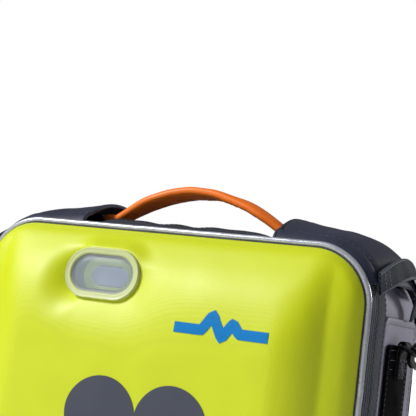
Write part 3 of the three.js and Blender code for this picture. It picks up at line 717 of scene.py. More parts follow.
# Knots are [distance inwards from the edge, distance in front of Y 0].
SIDE_HEIGHTS = height_table([
    (0, 76), (4.8, 76.5), (6, 79.8), (8, 83), (12, 86.2), (18, 89), (24, 91.2),
    *eased_knots(34, 102.1, 21.0), (80, FACE), (320, FACE),
], 1.1)
TOP_HEIGHTS = height_table([
    (0, 76), (4.8, 76.5), (6, 79.5), (8, 82.4), (10, 84.6), (15, 88.2),
    *eased_knots(20, 91.5, 62.0), (90, FACE), (320, FACE),
], 1.2)
EDGE_HEIGHTS = height_table([
    (0, 76), (4.8, 77), (6, 80.5), (8, 84), (12, 87.6), (18, 91), (26, 96), (40, 104), (70, FACE + 4),
    (320, FACE + 4),
], 2.0)
LID_BACK_Y = -72.6
LID_WALL = 3.6
DISH_FLOOR = 97.2
WINDOW_TILT = 0.13
PRINT_RISE = 0.35


def edge_distance(x, z):
    """Distance inwards from the piping's outside, round corners included."""
    qx = np.abs(x) - (HALF_WIDTH - CORNER_R)
    qz = np.abs(z - (TOP + BOTTOM) / 2) - ((TOP - BOTTOM) / 2 - CORNER_R)
    outside = np.hypot(np.maximum(qx, 0), np.maximum(qz, 0)) + np.minimum(np.maximum(qx, qz), 0)
    return CORNER_R - outside


def lid_height(x, z):
    """The moulded face: four slopes, a level panel and the dish round the window."""
    x, z = np.asarray(x, float), np.asarray(z, float)
    side = np.interp(HALF_WIDTH - np.abs(x), *SIDE_HEIGHTS)
    top = np.interp(TOP - z, *TOP_HEIGHTS)
    bottom = np.interp(z - BOTTOM, *SIDE_HEIGHTS)
    edge = np.interp(edge_distance(x, z), *EDGE_HEIGHTS)
    height = smooth_min(smooth_min(side, top, 22), smooth_min(bottom, edge, 5), 3)
    height = height + 0.25 * ripple(x, z, 1.3, 26) * smoothstep(edge_distance(x, z), 8, 24)
    dx, dz = x - WINDOW[0], z - WINDOW[2]
    beyond = np.maximum(np.abs(dx) - (WINDOW_HALF_X - WINDOW_HALF_Z), 0)
    outside = np.hypot(beyond, dz) - WINDOW_HALF_Z
    way = np.arctan2(dz, dx)
    wide = 21 + 17 * smoothstep(np.cos(way), -0.7, 0.7) + 14 * smoothstep(-np.sin(way), 0, 0.9)
    floor = DISH_FLOOR - WINDOW_TILT * dz - 5.6 * smoothstep(-np.cos(way), 0.55, 0.95)
    above = height - floor
    outside = outside - 0.8
    return floor + above * np.where(above > 0, easing(outside / wide, 2.3), easing(outside / 9))


def on_lid(flat, raise_by):
    """Plane points laid on the lid's curve, raised from it or pushed in."""
    return at_y(flat, -(lid_height(flat[:, 0], flat[:, 1]) + raise_by))


def oval(half_x, half_z):
    """The window's outline: two half circles joined by straight edges."""
    x, z = WINDOW[0], WINDOW[2]
    return inset(x - half_x, x + half_x, z - half_z, z + half_z, half_z, steps=12)


def make_lid_shell():
    """The moulded face, its lining and the hole that the window sits in."""
    counts = {"corner": 16, "straight": 100}
    near = np.concatenate([[4.8, 5.6, 6.8], np.arange(8.2, 84, 1.4)])
    far = np.concatenate([np.arange(87, HALF_WIDTH - 3.5, 6.0), [HALF_WIDTH - 3.2]])
    outer = [at_y(outline(-4.8, **counts), LID_BACK_Y)]
    outer += [on_lid(outline(-d, **counts), 0) for d in (*near, *far)]
    inner = [at_y(outline(-8.2, **counts), LID_BACK_Y), at_y(outline(-8.4, **counts), -76.5)]
    inner += [on_lid(outline(-d, **counts), -LID_WALL) for d in (*np.linspace(9, 84, 24), *far)]
    points, faces = loft(outer[::-1] + inner)
    slots = (np.arange(len(faces)) >= (len(outer) - 1) * len(outer[0])).astype(int)
    slots[-2] = 0
    hole = loft([at_y(oval(WINDOW_HALF_X - 1.6, WINDOW_HALF_Z - 1.6), y) for y in (-130, -84)])
    lid = add_piece("lid_skin", (points, faces, slots), "lid", ("lime_shell", "lid_lining"), "lid_shell",
                    sharp=60, hole=(hole, "lid_lining"))


def window_skin(rows, y, closed_path=True):
    """A loft of window outlines, each drawn in by `by`, `depth` behind y and leaning with the lid's slope."""
    rings = []
    for by, depth in rows:
        flat = oval(WINDOW_HALF_X - by, WINDOW_HALF_Z - by)
        rings.append(at_y(flat, y + depth + WINDOW_TILT * (flat[:, 1] - WINDOW[2])))
    return loft(rings, closed_path)


def make_window():
    """Frosted ring with a rolled edge, a dark seat and the clear lens."""
    y = WINDOW_LOW[1]
    rim = 4.5
    ring = [(0, 4.2), (0, 1.2), (0.2, 0.4), (0.6, 0), (1, 0.05), (1.5, 0.35), (2.2, 0.45), (3, 0.4),
            (3.6, 0.5), (4.1, 0.8), (rim, 1.5), (rim, 4.2)]
    add_piece("window_ring", window_skin(ring, y), "lid", "window_rim", "window_rim", sharp=50)
    seat = [(rim + by, depth) for by, depth in ((0.02, 1.6), (1, 1.9), (2, 2.9), (2.1, 3.6), (0.02, 3.8))]
    add_piece("window_gasket", window_skin(seat, y), "lid", "gasket_grey", slot="window_rim")
    face = ((12, -0.3), (6, -0.3), (1.9, -0.2), (1.4, 0.2), (1.4, 0.9), (2, 1), (12, 1))
    middle = (mm_box("window_lens")[0][1] + mm_box("window_lens")[1][1]) / 2
    pane = window_skin([(rim + by, depth) for by, depth in face], middle, closed_path=False)
    add_piece("window_pane", pane, "lid", "window_lens", "window_lens")


def make_lid_trim():
    """Piping with the small waves of sewn cord, its dark seam and the edge binding inside."""
    flat, ways = outline_ways(-2.3, corner=24, straight=90)
    out = at_y(ways, 0.0)
    path = at_y(flat, PIPING_Y - 0.3) + out * 0.14 * ripple(flat[:, 0], flat[:, 1], 4.2, 11)[:, None]
    path[:, 1] += 0.12 * ripple(flat[:, 1], flat[:, 0], 2.2, 9)
    piping = loft(swept(path, round_section(1.9, 16), out, closed=True), closed_path=True)
    add_piece("piping_cord", piping, "lid", "silver_piping", "lid_piping")
    seam = cord_loop(-4.5, -76.6, 0.6, 8, straight=70)
    add_piece("piping_seam", seam, "lid", "seam_thread", slot="silver_piping")
    add_piece("lid_binding", cord_loop(-8.6, -72.9, 0.75, 8, straight=60), "lid", "black_fabric")


# ---- Printed marks, laid on the curve of the lid ----
def polygon_reach(corners, angles):
    """How far a star-shaped polygon reaches from its middle at each angle."""
    ways = np.stack([np.cos(angles), np.sin(angles)], 1)
    reach = np.full(len(angles), np.inf)
    for a, b in zip(corners, np.roll(corners, -1, axis=0)):
        edge = b - a
        spread = ways[:, 0] * edge[1] - ways[:, 1] * edge[0]
        spread = np.where(np.abs(spread) < 1e-9, 1e-9, spread)
        far = (a[0] * edge[1] - a[1] * edge[0]) / spread
        along = (a[0] * ways[:, 1] - a[1] * ways[:, 0]) / spread
        hit = (far > 0) & (along >= -1e-6) & (along <= 1 + 1e-6)
        reach = np.where(hit, np.minimum(reach, far), reach)
    return reach


BOLT = ((4, 19), (-11, -3), (-2, -3), (-4, -20), (11, 4), (2, 4))


def make_heart_mark():
    """A heart with a lightning bolt cut out of its middle, the generic sign for a defibrillator."""
    low, high = mm_box("heart_mark")
    middle = np.array([(low[0] + high[0]) / 2, low[2] + 41])
    turn = np.linspace(0, 2 * np.pi, 240, endpoint=False)
    curve = 13 * np.cos(turn) - 5 * np.cos(2 * turn) - 2 * np.cos(3 * turn) - np.cos(4 * turn)
    curve = (curve - curve.min()) / (curve.max() - curve.min())
    across = (high[0] - low[0]) / 2 * np.sin(turn) ** 3
    heart = np.stack([across, low[2] + (high[2] - low[2]) * curve - middle[1]], 1)
    bolt = np.array(BOLT, float)
    tips = np.arctan2(*np.concatenate([bolt, heart[:1]]).T[::-1])
    angles = np.unique(np.round(np.concatenate([np.linspace(-np.pi, np.pi, 300), tips]), 6))[:-1]
    ways = np.stack([np.cos(angles), np.sin(angles)], 1)
    near, far = polygon_reach(bolt, angles), polygon_reach(heart, angles)
    reaches = [near + (far - near) * share for share in np.linspace(0, 1, 16)]
    rings = [on_lid(middle + ways * reach[:, None], PRINT_RISE) for reach in reaches]
    rings += [on_lid(middle + ways * reach[:, None], -0.1) for reach in (far, near)]
    add_piece("heart_print", loft(rings, closed_path=True), "lid", "mark_grey", "heart_mark", sharp=50)


def make_pulse_mark():
    """A generic heartbeat line."""
    low, high = mm_box("pulse_mark")
    half, middle = 3.3, low[2] + 7
    beat = np.array([(0, middle), (0.3, middle), (0.4, high[2] - half), (0.52, low[2] + half),
                     (0.62, middle + 6), (0.7, middle), (1, middle)])
    beat[:, 0] = low[0] + beat[:, 0] * (high[0] - low[0])
    dense = [np.linspace(a, b, 12, endpoint=False) for a, b in zip(beat[:-1], beat[1:])]
    dense = np.concatenate([*dense, beat[-1:]])
    turned = unit(np.gradient(dense, axis=0))[:, ::-1] * (-1, 1)
    rings = []
    for point, side in zip(dense, turned):
        across = point + side * half * np.array([-1, -0.5, 0, 0.5, 1])[:, None]
        rings.append(np.concatenate([on_lid(across, PRINT_RISE), on_lid(across[[-1, 0]], -0.1)]))
    add_piece("pulse_print", loft(rings), "lid", "mark_blue", "pulse_mark")


# ---- Zipper: ribbed tapes, teeth and stitching ----
TOOTH_PITCH = 1.9


def tape_bulge(x, z, y):
    """How far the zipper tape stands off the case: it bellies out along the top between the covers."""
    along_top = (1 - smoothstep(np.abs(x), 52, 74)) * smoothstep(z, 250, 285)
    down_side = smoothstep(np.abs(x), 120, 136) * smoothstep(z, 20, 60) * (1 - smoothstep(z, 270, 290))
    share = np.clip((y - PIPING_Y - 2.5) / (TAPE_REAR_Y - PIPING_Y - 2.5), 0, 1)
    belly = np.sin(np.pi * share) ** 0.8
    return belly * (5.6 * along_top + 1.6 * down_side + 0.5) * (1 + 0.25 * ripple(x, z, 3.1, 17))


def over_hinge(flat, margin, height):
    """Which outline points lie along the fabric hinge."""
    return (flat[:, 1] < height) & (np.abs(flat[:, 0]) < HALF_WIDTH - CORNER_R + margin)


def tape_rings(y_values):
    """Rings of a tape's section along the outline, outer face first and then its underside."""
    flat, ways = outline_ways(-1.9, corner=16, straight=80)
    outer, inner = [], []
    for y in y_values:
        rise = tape_bulge(flat[:, 0], flat[:, 1], y)
        rib = 0.16 * np.sin(2 * np.pi * y / 3.2)
        outer.append(at_y(flat + ways * (rise + rib)[:, None], y))
        inner.append(at_y(flat + ways * (rise - 1.3)[:, None], y))
    return np.stack([*outer, *inner[::-1]], 1)


def make_tapes():
    """The lid's tape, which runs all round, and the tub's, which is open along the hinge."""
    rings = tape_rings(np.linspace(PIPING_Y + 2.4, ZIP_Y - 0.35, 22))
    add_piece("lid_tape", loft(rings, closed_path=True), "lid", "zipper_tape", "lid_zipper_tape")
    rings = tape_rings(np.linspace(ZIP_Y + 0.35, TAPE_REAR_Y, 34))
    low = over_hinge(rings[:, 0, [0, 2]], 8, 40)
    first = int(np.argmax(~low & np.roll(low, 1)))
    kept = np.roll(rings, -first, axis=0)[:len(rings) - int(low.sum())]
    add_piece("tub_tape", loft(kept), "case", "zipper_tape", "tub_zipper_tape")


def make_teeth():
    """Teeth that alternate between the tapes, and each tape's row of stitches."""
    flat, ways = outline_ways(-1.9, corner=40, straight=200)
    closed, ways = (np.concatenate([v, v[:1]]) for v in (flat, ways))
    travelled = distances(closed)
    count = int(travelled[-1] / TOOTH_PITCH / 2) * 2
    at = np.arange(count) * travelled[-1] / count
    where, out = sampled(closed, travelled, at), unit(sampled(ways, travelled, at))
    for tape, body, side, edge in (("lid", "lid", -1, PIPING_Y + 4.4), ("tub", "case", 1, TAPE_REAR_Y - 2.2)):
        half = ~over_hinge(where, 12, 30) & (np.arange(count) % 2 == (side + 1) // 2)
        y = ZIP_Y + side * 1.15
        rise = tape_bulge(where[half, 0], where[half, 1], y) - 0.15
        centres = at_y(where[half] + out[half] * rise[:, None], y)
        teeth = beads(centres, (0, 1, 0), at_y(out[half], 0), (2.2, 1.4, 0.8))
        add_piece(f"{tape}_teeth", teeth, body, "zipper_coil", f"{tape}_zipper_coil")
        rise = tape_bulge(closed[:, 0], closed[:, 1], edge) + 0.1
        path = at_y(closed + ways * rise[:, None], edge)
        sewn = (tape == "lid") | ~over_hinge(path[:, [0, 2]], 12, 30)
        stitches = stitch_row(path[sewn], at_y(ways, 0)[sewn], 2.2, 1.2, 0.5)
        add_piece(f"{body}_tape_stitches", stitches, body, "seam_thread", slot="zipper_tape")


def make_slider(where):
    """A zipper slider: a waisted plate with a bridge over it."""
    body = f"slider_{where}"
    low, high = mm_box(body)
    z = (low[2] + high[2]) / 2
    half_y = (high[1] - low[1]) / 2
    rings = []
    for by, height in ((1.0, 0.0), (0.2, 0.25), (0.0, 0.7), (0.2, 1.3), (0.9, 1.75), (3.0, 1.85)):
        flat = inset(ZIP_Y - half_y, ZIP_Y + half_y, z - 7, z + 7, 3.4, by)
        flat[:, 0] = ZIP_Y + (flat[:, 0] - ZIP_Y) * (1 - 0.2 * hump(flat[:, 1], z, 3.2))
        rings.append(facing_side(raised(flat, height), HALF_WIDTH - 1.4, -1))
    arch = [(-5.0, 1.2), (-4.9, 2.6), (-3.6, 3.2), (0, 3.4), (3.6, 3.2), (4.9, 2.6), (5.0, 1.2)]
    path = curve_through([(-(HALF_WIDTH - 1.6 + h), ZIP_Y, z + dz) for dz, h in arch], 22)
    bridge = tapered(path, pill_section(2.6, 0.9, 4, 3), (0, 1, 0), 0.8)
    add_piece(f"zip_slider_{where}", merge([loft(rings), bridge]), body, "zinc", body)


def make_pull(where):
    """A moulded pull tab with raised grip ribs."""
    body = f"pull_tab_{where}"
    low, high = mm_box(body)
    middle_x = -(low[0] + high[0]) / 2
    rows = [(0.8, -0.95), (0.1, -0.6), (0.0, 0.0), (0.1, 0.6), (0.8, 0.95), (1.6, 0.7), (2.6, 0.68)]
    tab = domed_plate(side_bounds((low, high)), 3.6, rows, facing_side, middle_x, -1)
    grip = [(-(middle_x + 0.75), ZIP_Y, low[2] + 5 + 2.6 * k) for k in range(6)]
    ribs = beads(grip, (0, 1, 0), (1, 0, 0), (4.6, 1.1, 0.8))
    add_piece(f"zip_pull_{where}", merge([tab, ribs]), body, "orange_handle", body)


# ---- Corner covers: stations hold [x, angle round the corner, height over the case] ----
COVER_STATIONS = (
    (65, 90, 20.0), (76, 90, 18.4), (89, 90, 16.2), (102, 90, 14.4), (102, 78, 14.2), (102, 66, 14.4),
    (102, 54, 14.6), (102, 42, 14.4), (102, 32, 13.0), (102, 24, 10.5),
)
COVER_WALL = 2.4
ANGLE_WEIGHT = (1, 0.9, 1)


def cover_surface(s, depth, stations, t):
    """A cover's skin, `depth` inside its outer face, at stations along it and shares t across it."""
    low, high = mm_box("corner_cover_right")
    y0, y1 = low[1] + 0.6 * depth, high[1] - 0.6 * depth
    y = y0 + (y1 - y0) * t
    slant = 3.5 if s > 0 else -5.5
    mouth = -6.5 + slant * smoothstep(t, 0.1, 0.5) - 27 * smoothstep(t, 0.5, 1.05)
    arch = np.sin(np.pi * np.clip(t, 0, 1)) ** 0.62
    folds = 1.5 * hump(y, y0 + 5, 3.6) - 1.7 * hump(y, y0 + 11.5, 1.7) - hump(y, y1 - 13, 1.8)
    rows = []
    for k, (x, angle, height) in enumerate(stations):
        share = k / (len(stations) - 1)
        lean = math.radians(angle)
        reach = CORNER_R - 2.2 + (height + 1.9 - depth) * arch
        if depth == 0:
            reach = reach + folds + 0.3 * ripple(y, 260 * share, 2.7 * s + 4, 26)
        across = s * (x - mouth * (1 - share) ** 3 + math.cos(lean) * reach)
        rows.append(np.stack([across, y, TOP - CORNER_R + math.sin(lean) * reach], 1))
    return np.array(rows)


def surface_ways(grid, s):
    """Outward ways of a grid of cover points."""
    ways = unit(np.cross(np.gradient(grid, axis=0), np.gradient(grid, axis=1)))
    centre = mirrored((HALF_WIDTH - CORNER_R, -5, TOP - CORNER_R), s)
    return ways * np.sign(((grid - centre) * ways).sum(-1, keepdims=True))


def make_cover(side, s):
    """A padded cover over an upper corner, with its stitches and the bound edge of its mouth."""
    stations = evenly(np.array(COVER_STATIONS) * ANGLE_WEIGHT, 46) / ANGLE_WEIGHT
    even = np.linspace(0, 1, 56)
    t = 0.5 * (0.5 - 0.5 * np.cos(np.pi * even)) + 0.5 * even
    outer = cover_surface(s, 0, stations, t)
    rings = np.concatenate([outer, cover_surface(s, COVER_WALL, stations, t[::-1])], 1)
    size = rings.shape[1]
    points, faces = loft(rings)
    slots = [int(i % size >= len(t)) for i in range(len(faces) - 2)] + [0, 0]
    cover = add_piece(f"cover_{side}", (points, faces, slots), "case", ("navy_fabric", "navy_lining"),
                      f"corner_cover_{side}", sharp=50)
    ways = surface_ways(outer, s)
    rows = [stitch_row(outer[2][3:-3], ways[2][3:-3], 2.6, 1.5, 0.6)]
    y = outer[0, :, 1]
    for seam in (y[0] + 13.5, y[-1] - 15.5):
        column = int(np.argmin(np.abs(y - seam)))
        rows.append(stitch_row(outer[1:-1, column], ways[1:-1, column], 2.8, 1.6, 0.55))
    add_piece(f"cover_stitches_{side}", merge(rows), "case", "thread_navy", slot="navy_fabric")
    rim = 0.5 * (rings[0][:size // 2] + rings[0][size // 2:][::-1])
    binding = tapered(rim, round_section(1.45, 10), (1, 0, 0), 0.5)
    add_piece(f"cover_binding_{side}", binding, "case", "navy_fabric")


# ---- Carrying handle ----
HANDLE_THICK = 5.6
HANDLE_HALF = 66.3
HANDLE_FOOT = 305.3
PIN_Z = 305.5


def handle_section(x, width):
    """The grip's section at x: crowned above, wrinkled below, with a pressed line along both edges."""
    flat = pill_section(width, HANDLE_THICK, 7, 14)
    level = 1 - (flat[:, 0] / (width / 2)) ** 2
    crown = 0.55 * level - 0.5 * hump(np.abs(flat[:, 0]), width / 2 - 2.6, 0.7)
    wrinkle = 0.6 * ripple(x, flat[:, 0], 5.5, 3.4) * hump(x, 0, 46)
    flat[:, 1] += np.where(flat[:, 1] > 0, crown, -0.35 * crown + wrinkle * level)
    return flat


def make_handle():
    """Orange vinyl strap: a padded, twisted arch with loops round the pins and four rows of stitches."""
    crest = HANDLE_HIGH[2] - HANDLE_THICK / 2 - 0.2
    width = HANDLE_HIGH[1] - HANDLE_LOW[1]
    x = np.linspace(-70.3, 70.3, 90)
    z = HANDLE_FOOT + (crest - HANDLE_FOOT) * (1 - (x / HANDLE_HALF) ** 2)
    z = z + 0.35 * ripple(x, z, 6.1, 13)
    path = np.stack([x, np.full(len(x), HANDLE_Y), z], 1)
    twist = np.radians(np.interp(x, [-66, -20, 0, 30, 66], [-12, -12, -7, 7, 7]))
    way = np.stack([0 * x, np.cos(twist), np.sin(twist)], 1)
    widths = width - (width - 14) * smoothstep(np.abs(x), HANDLE_HALF - 26, HANDLE_HALF - 4)
    parts = [loft(swept(path, [handle_section(*row) for row in zip(x, widths)], way))]
    share = np.linspace(-1, 1, 12)
    swell = 5.0 - 0.9 * share ** 4
    for s in (1, -1):
        pin = np.stack([s * (HANDLE_HALF + 5.6 + 5 * share), np.full(12, HANDLE_Y), np.full(12, PIN_Z)], 1)
        parts.append(loft(swept(pin, round_section(1.0, 20) * swell[:, None, None], (0, 1, 0))))
    handle = add_piece("handle_grip", merge(parts), "handle", "orange_handle", "handle_strap", sharp=55)
    along = tangents(path)
    side = square_to(way, along)
    up = np.cross(along, side)
    up *= np.sign(up[:, 2:])
    rows = []
    for edge in (-1, 1):
        for face, sink in ((1, 0.05), (-1, 0.25)):
            line = path + side * (edge * (widths / 2 - 4.4))[:, None] + up * face * (HANDLE_THICK / 2 - sink)
            rows.append(stitch_row(line[6:-6], face * up[6:-6], 2.6, 1.3, 0.5))
    add_piece("handle_stitches", merge(rows), "handle", "thread_orange", slot="orange_handle")


# ---- Webbing over the upper corners ----
WEBBING_ROUTE = (
    (142.4, -66, 277.0), (144.6, -57, 281.2), (147.0, -45, 286), (148.5, -32, 289.6), (149.3, -20, 291.6),
    (149.3, -6, 291.6), (148.8, 8, 288.5), (147.6, 19, 284), (145.8, 28, 274), (143.6, 33, 261),
)
WEBBING_WIDTH, WEBBING_THICK = 15.0, 2.0
EDGE_WEAVE = 2.2


def strap_shape(path, facing, width, thick):
    """A woven strap whose narrow edges take the second material."""
    section = pill_section(width, thick, 5, 16)
    points, faces = loft(swept(path, section, np.cross(facing, tangents(path))))
    edge = np.abs(section[:, 0]) > width / 2 - EDGE_WEAVE
    slots = [*np.tile(edge & np.roll(edge, -1), len(path) - 1), 0, 0]
    return points, faces, slots


def make_webbing(side, s):
    path = curve_through([mirrored(point, s) for point in WEBBING_ROUTE], 60)
    lean = np.radians(28) * np.sin(np.pi * np.linspace(0, 1, len(path))) ** 0.7
    facing = np.stack([s * np.cos(lean), 0 * lean, np.sin(lean)], 1)
    add_piece(f"webbing_{side}", strap_shape(path, facing, WEBBING_WIDTH, WEBBING_THICK), "case",
              ("webbing_grey", "selvedge"), f"corner_webbing_{side}")
    along = tangents(path)
    across = unit(np.cross(facing, along))
    out = unit(np.cross(along, across))
    out *= np.sign(out[:, :1]) * s
    top = path + out * WEBBING_THICK / 2
    rows = []
    for k in (3, 6, -4, -7):
        line = top[k] + np.outer(np.linspace(-5.6, 5.6, 8), across[k])
        rows.append(stitch_row(line, out[k], 1.8, 0.8, 0.55))
    for edge in (-1, 1):
        rows.append(stitch_row(top + across * edge * (WEBBING_WIDTH / 2 - 1.4), out, 2.2, 1.4, 0.5))
    add_piece(f"webbing_stitches_{side}", merge(rows), "case", "thread_grey", slot="webbing_grey")


# ---- Shoulder-strap hardware ----
HOOK_CENTRE = (162.2, 1.9, 237.5)
STRAP_WAY = (0.2, 0.78, -0.59)
HOOK_VIEW = (-0.404, 0.908, 0.11)
HOOK_RADIUS = 11.8
HOOK_STEM = ((0, 2.6), (1.2, 3.5), (3, 4.0), (6, 4.0), (6.6, 3.5), (7.2, 4.0), (11.4, 4.0), (12.4, 3.6),
             (13.4, 2.5), (13.5, 2.1), (20.4, 2.1), (20.5, 3.3), (21, 3.5), (21.8, 3.4), (22.2, 2.4))
LUG_CENTRE = (147.7, -1.0, 241.0)
RING_HALF, RING_REACH, RING_DROOP = 12.0, 13.4, 24.8


def hook_axes(s):
    along = unit(mirrored(STRAP_WAY, s))
    view = mirrored(HOOK_VIEW, s)
    normal = unit(view - view.dot(along) * along)
    return np.array([along, np.cross(normal, along), normal])


def in_hook(points, s):
    """Points given along the strap, across it and out of the hook's plane, in the case's frame."""
    return mirrored(HOOK_CENTRE, s) + np.asarray(points, float) @ hook_axes(s)


def hook_arc(from_degrees, to_degrees, count, s):
    return in_hook(raised(circle_arc(0, 0, HOOK_RADIUS, from_degrees, to_degrees, count), 0), s)


def turned(profile, ends, sides=24):
    """A turned part between two points: `profile` holds [distance along, radius]."""
    way = unit(ends[1] - ends[0])
    u = unit(np.cross((0, 0, 1.0) if abs(way[2]) < 0.8 else (1.0, 0, 0), way))
    circle = round_section(1.0, sides) @ np.array([u, np.cross(way, u)])
    return loft([ends[0] + way * along + radius * circle for along, radius in profile])


def make_hook(side, s):
    """A swivelling snap hook: a bent wire head on a turned stem, and its sprung gate on a rivet."""
    normal = hook_axes(s)[2]
    thin = np.ones(60)
    thin[-6:] = [1.0, 1.05, 1.08, 1.05, 0.9, 0.6]
    head = loft(swept(hook_arc(-2, -288, 60, s), round_section(2.6, 18) * thin[:, None, None], normal))
    stem = turned(HOOK_STEM, in_hook([(10.7, 0, 0), (34, 0, 0)], s))
    body = f"snap_hook_{side}"
    add_piece(f"hook_{side}", merge([head, stem]), body, "black_metal", body)
    thin = np.interp(np.arange(24), [0, 2, 21, 23], [0.75, 1, 1, 0.7])
    bar = loft(swept(hook_arc(30, 67, 24, s), round_section(1.7, 14) * thin[:, None, None], normal))
    pivot = hook_arc(34, 34, 1, s)[0]
    half = 2.15 * normal
    rivet = turned([(0, 0.5), (0.1, 0.9), (4.2, 0.9), (4.3, 0.5)], [pivot - half, pivot + half], 12)
    body = f"snap_gate_{side}"
    add_piece(f"gate_{side}", merge([bar, rivet]), body, "zinc", body)


def make_strap_eye(side, s):
    """The swivel's flat loop: a rounded frame that the strap passes through, with a hole for the pin."""
    outer = [inset(25.4, 43.6, -16.2, 16.2, 3.0 + by, by, 6) for by in (0, 0.8)]
    inner = [inset(31.0, 40.0, -13.0, 13.0, 1.6 - by, -by, 6) for by in (0.8, 0)]
    lower = list(zip(outer + inner, (-1.6, -2.5, -2.5, -1.6)))
    rows = lower + [(flat, -height) for flat, height in lower[::-1]]
    frame_loop = loft([in_hook(raised(flat, height), s) for flat, height in rows], closed_path=True)
    hole = turned([(0, 2.5), (9, 2.5)], in_hook([(23, 0, 0), (32, 0, 0)], s))
    add_piece(f"eye_{side}", frame_loop, "case", "black_metal", f"strap_eye_{side}", sharp=50,
              hole=(hole, "zinc"))


def make_ring(side, s):
    """A D-ring: two round outer corners and two tighter ones at its bar."""
    corner, near = 4.0, 2.2
    corners = ((RING_REACH - corner, RING_HALF - corner, corner), (near, RING_HALF - near, near),
               (near, -RING_HALF + near, near), (RING_REACH - corner, -RING_HALF + corner, corner))
    arcs = [circle_arc(x, y, r, 90 * k, 90 * k + 90, 9) for k, (x, y, r) in enumerate(corners)]
    flat = np.concatenate(arcs)
    drop = math.radians(RING_DROOP)
    outwards = np.array([s * math.cos(drop), 0, -math.sin(drop)])
    path = mirrored(LUG_CENTRE, s) + flat[:, :1] * outwards + flat[:, 1:] * np.array([0, 1.0, 0])
    rings = swept(path, round_section(1.5, 16), np.cross(outwards, [0, 1.0, 0]), closed=True)
    body = f"d_ring_{side}"
    add_piece(f"ring_{side}", loft(rings, closed_path=True), body, "black_metal", body)


def make_lug(side, s):
    """Webbing folded round the ring's bar, with its tails sewn flat to the case by a crossed box."""
    loop = circle_arc(0, 0, 2.62, 205, -75, 22)
    path = evenly([(-2.9, -22), (-2.9, -9), (-2.75, -4), *loop, (-0.6, -4.6), (-1.3, -9), (-1.45, -22)], 60)
    centre = mirrored(LUG_CENTRE, s)
    points = centre + at_y(path * (s, 1), 0)
    lug = loft(swept(points, pill_section(17.0, 1.3, 5, 12), (0, 1.0, 0)))
    add_piece(f"lug_{side}", lug, "case", "black_webbing", f"strap_lug_{side}")
    half, high, low = 6.6, -9, -20
    corners = [(-half, high), (half, high), (half, low), (-half, low), (-half, high), (half, low),
               (-half, low), (half, high)]
    rows = []
    for start, end in zip(corners[:-1], corners[1:]):
        line = np.linspace((-s * 0.7, *start), (-s * 0.7, *end), 8)
        rows.append(stitch_row(centre + line, (s, 0, 0), 1.8, 0.9, 0.5))
    add_piece(f"lug_stitches_{side}", merge(rows), "case", "thread_grey", slot="black_webbing")


# ---- Shoulder strap and its pad ----
STRAP_ROUTE = (
    (171.6, 38.3, 210), (173.6, 58.5, 192.5), (172.5, 78, 168), (168, 94, 138), (162, 105, 107),
    (154, 112, 77), (143, 117, 49), (129, 121, 24), (110, 124, 7.5), (87, 125, 1.7), (58, 125, 1.6),
    (29, 125, 1.6), (0, 125, 1.6),
)
STRAP_WIDTH, STRAP_THICK = 25.0, 2.0


def make_strap():
    """The strap hangs from both hooks to the floor behind the case, where its pad lies."""
    path = curve_through([*STRAP_ROUTE, *(mirrored(point, -1) for point in STRAP_ROUTE[-2::-1])], 240)
    t = np.linspace(0, 1, 240)
    outwards = np.where(t < 0.5, -1.0, 1.0)[:, None] * (1, 0, 0)
    near = 0.63 * outwards + (0, 0.57, 0.53)
    far = outwards + (0, 0, 0.9)
    facing = near + (far - near) * smoothstep(1 - 2 * np.abs(t - 0.5), 0, 0.75)[:, None]
    strap = add_piece("carry_strap", strap_shape(path, facing, STRAP_WIDTH, STRAP_THICK), "case",
                      ("black_webbing", "black_fabric"), "shoulder_strap")
    pad = make_strap_pad()


def make_strap_pad():
    """Padded shoulder rest with a bound edge and three sewn channels."""
    low, high = mm_box("shoulder_pad")
    cx, cy, cz = (low + high) / 2
    half_x, half_y, half_z = (high - low) / 2
    circle = round_section(1.0, 72)
    shares = [1.0, 1.0, 0.985, 0.94, 0.86, 0.76, 0.65, 0.53, 0.4, 0.27, 0.14, 0.04]
    rings = []
    for face, share in [(-1, share) for share in shares[::-1]] + [(1, share) for share in shares[1:]]:
        x, y = (circle * (half_x, half_y) * share).T
        channels = sum(hump(x, at, 2.0) for at in (-42, 0, 42))
        height = half_z * (1 - share ** 4) ** 0.5 * (1 - 0.42 * channels * (share < 0.95))
        rings.append(np.stack([cx + x, cy + y, cz + face * np.maximum(height, 0.6)], 1))
    pad = add_piece("strap_pad", loft(rings), "case", "black_fabric", "shoulder_pad", sharp=70)
    edge = raised(circle * (half_x - 0.4, half_y - 0.4) + (cx, cy), cz)
    binding = swept(edge, round_section(1.5, 10), (0, 0, 1.0), closed=True)
    add_piece("strap_pad_binding", loft(binding, closed_path=True), "case", "black_webbing")
    return pad


# ---- Sides: panels and pockets ----
def make_side_panel(side, s):
    """A padded side panel with a sewn border."""
    box = mm_box(f"side_panel_{side}")
    bounds = side_bounds(box)
    at = (facing_side, min(abs(box[0][0]), abs(box[1][0])), s)
    rows = [(1.2, 0.0), (0.0, 0.3), (0.0, 1.5), (0.5, 2.2), (1.6, 2.5), (3.2, 2.2), (4.4, 1.7), (6.5, 2.1),
            (14, 2.35), (26, 2.4), (40, 2.4)]
    shape = domed_plate(bounds, 10, rows, *at)
    add_piece(f"panel_{side}", shape, "case", "side_grey", f"side_panel_{side}", sharp=60)
    stitches = border_stitches(bounds, 10, 4.4, 1.75, (s, 0, 0), (2.4, 1.5), *at)
    add_piece(f"panel_stitches_{side}", stitches, "case", "thread_grey", slot="side_grey")


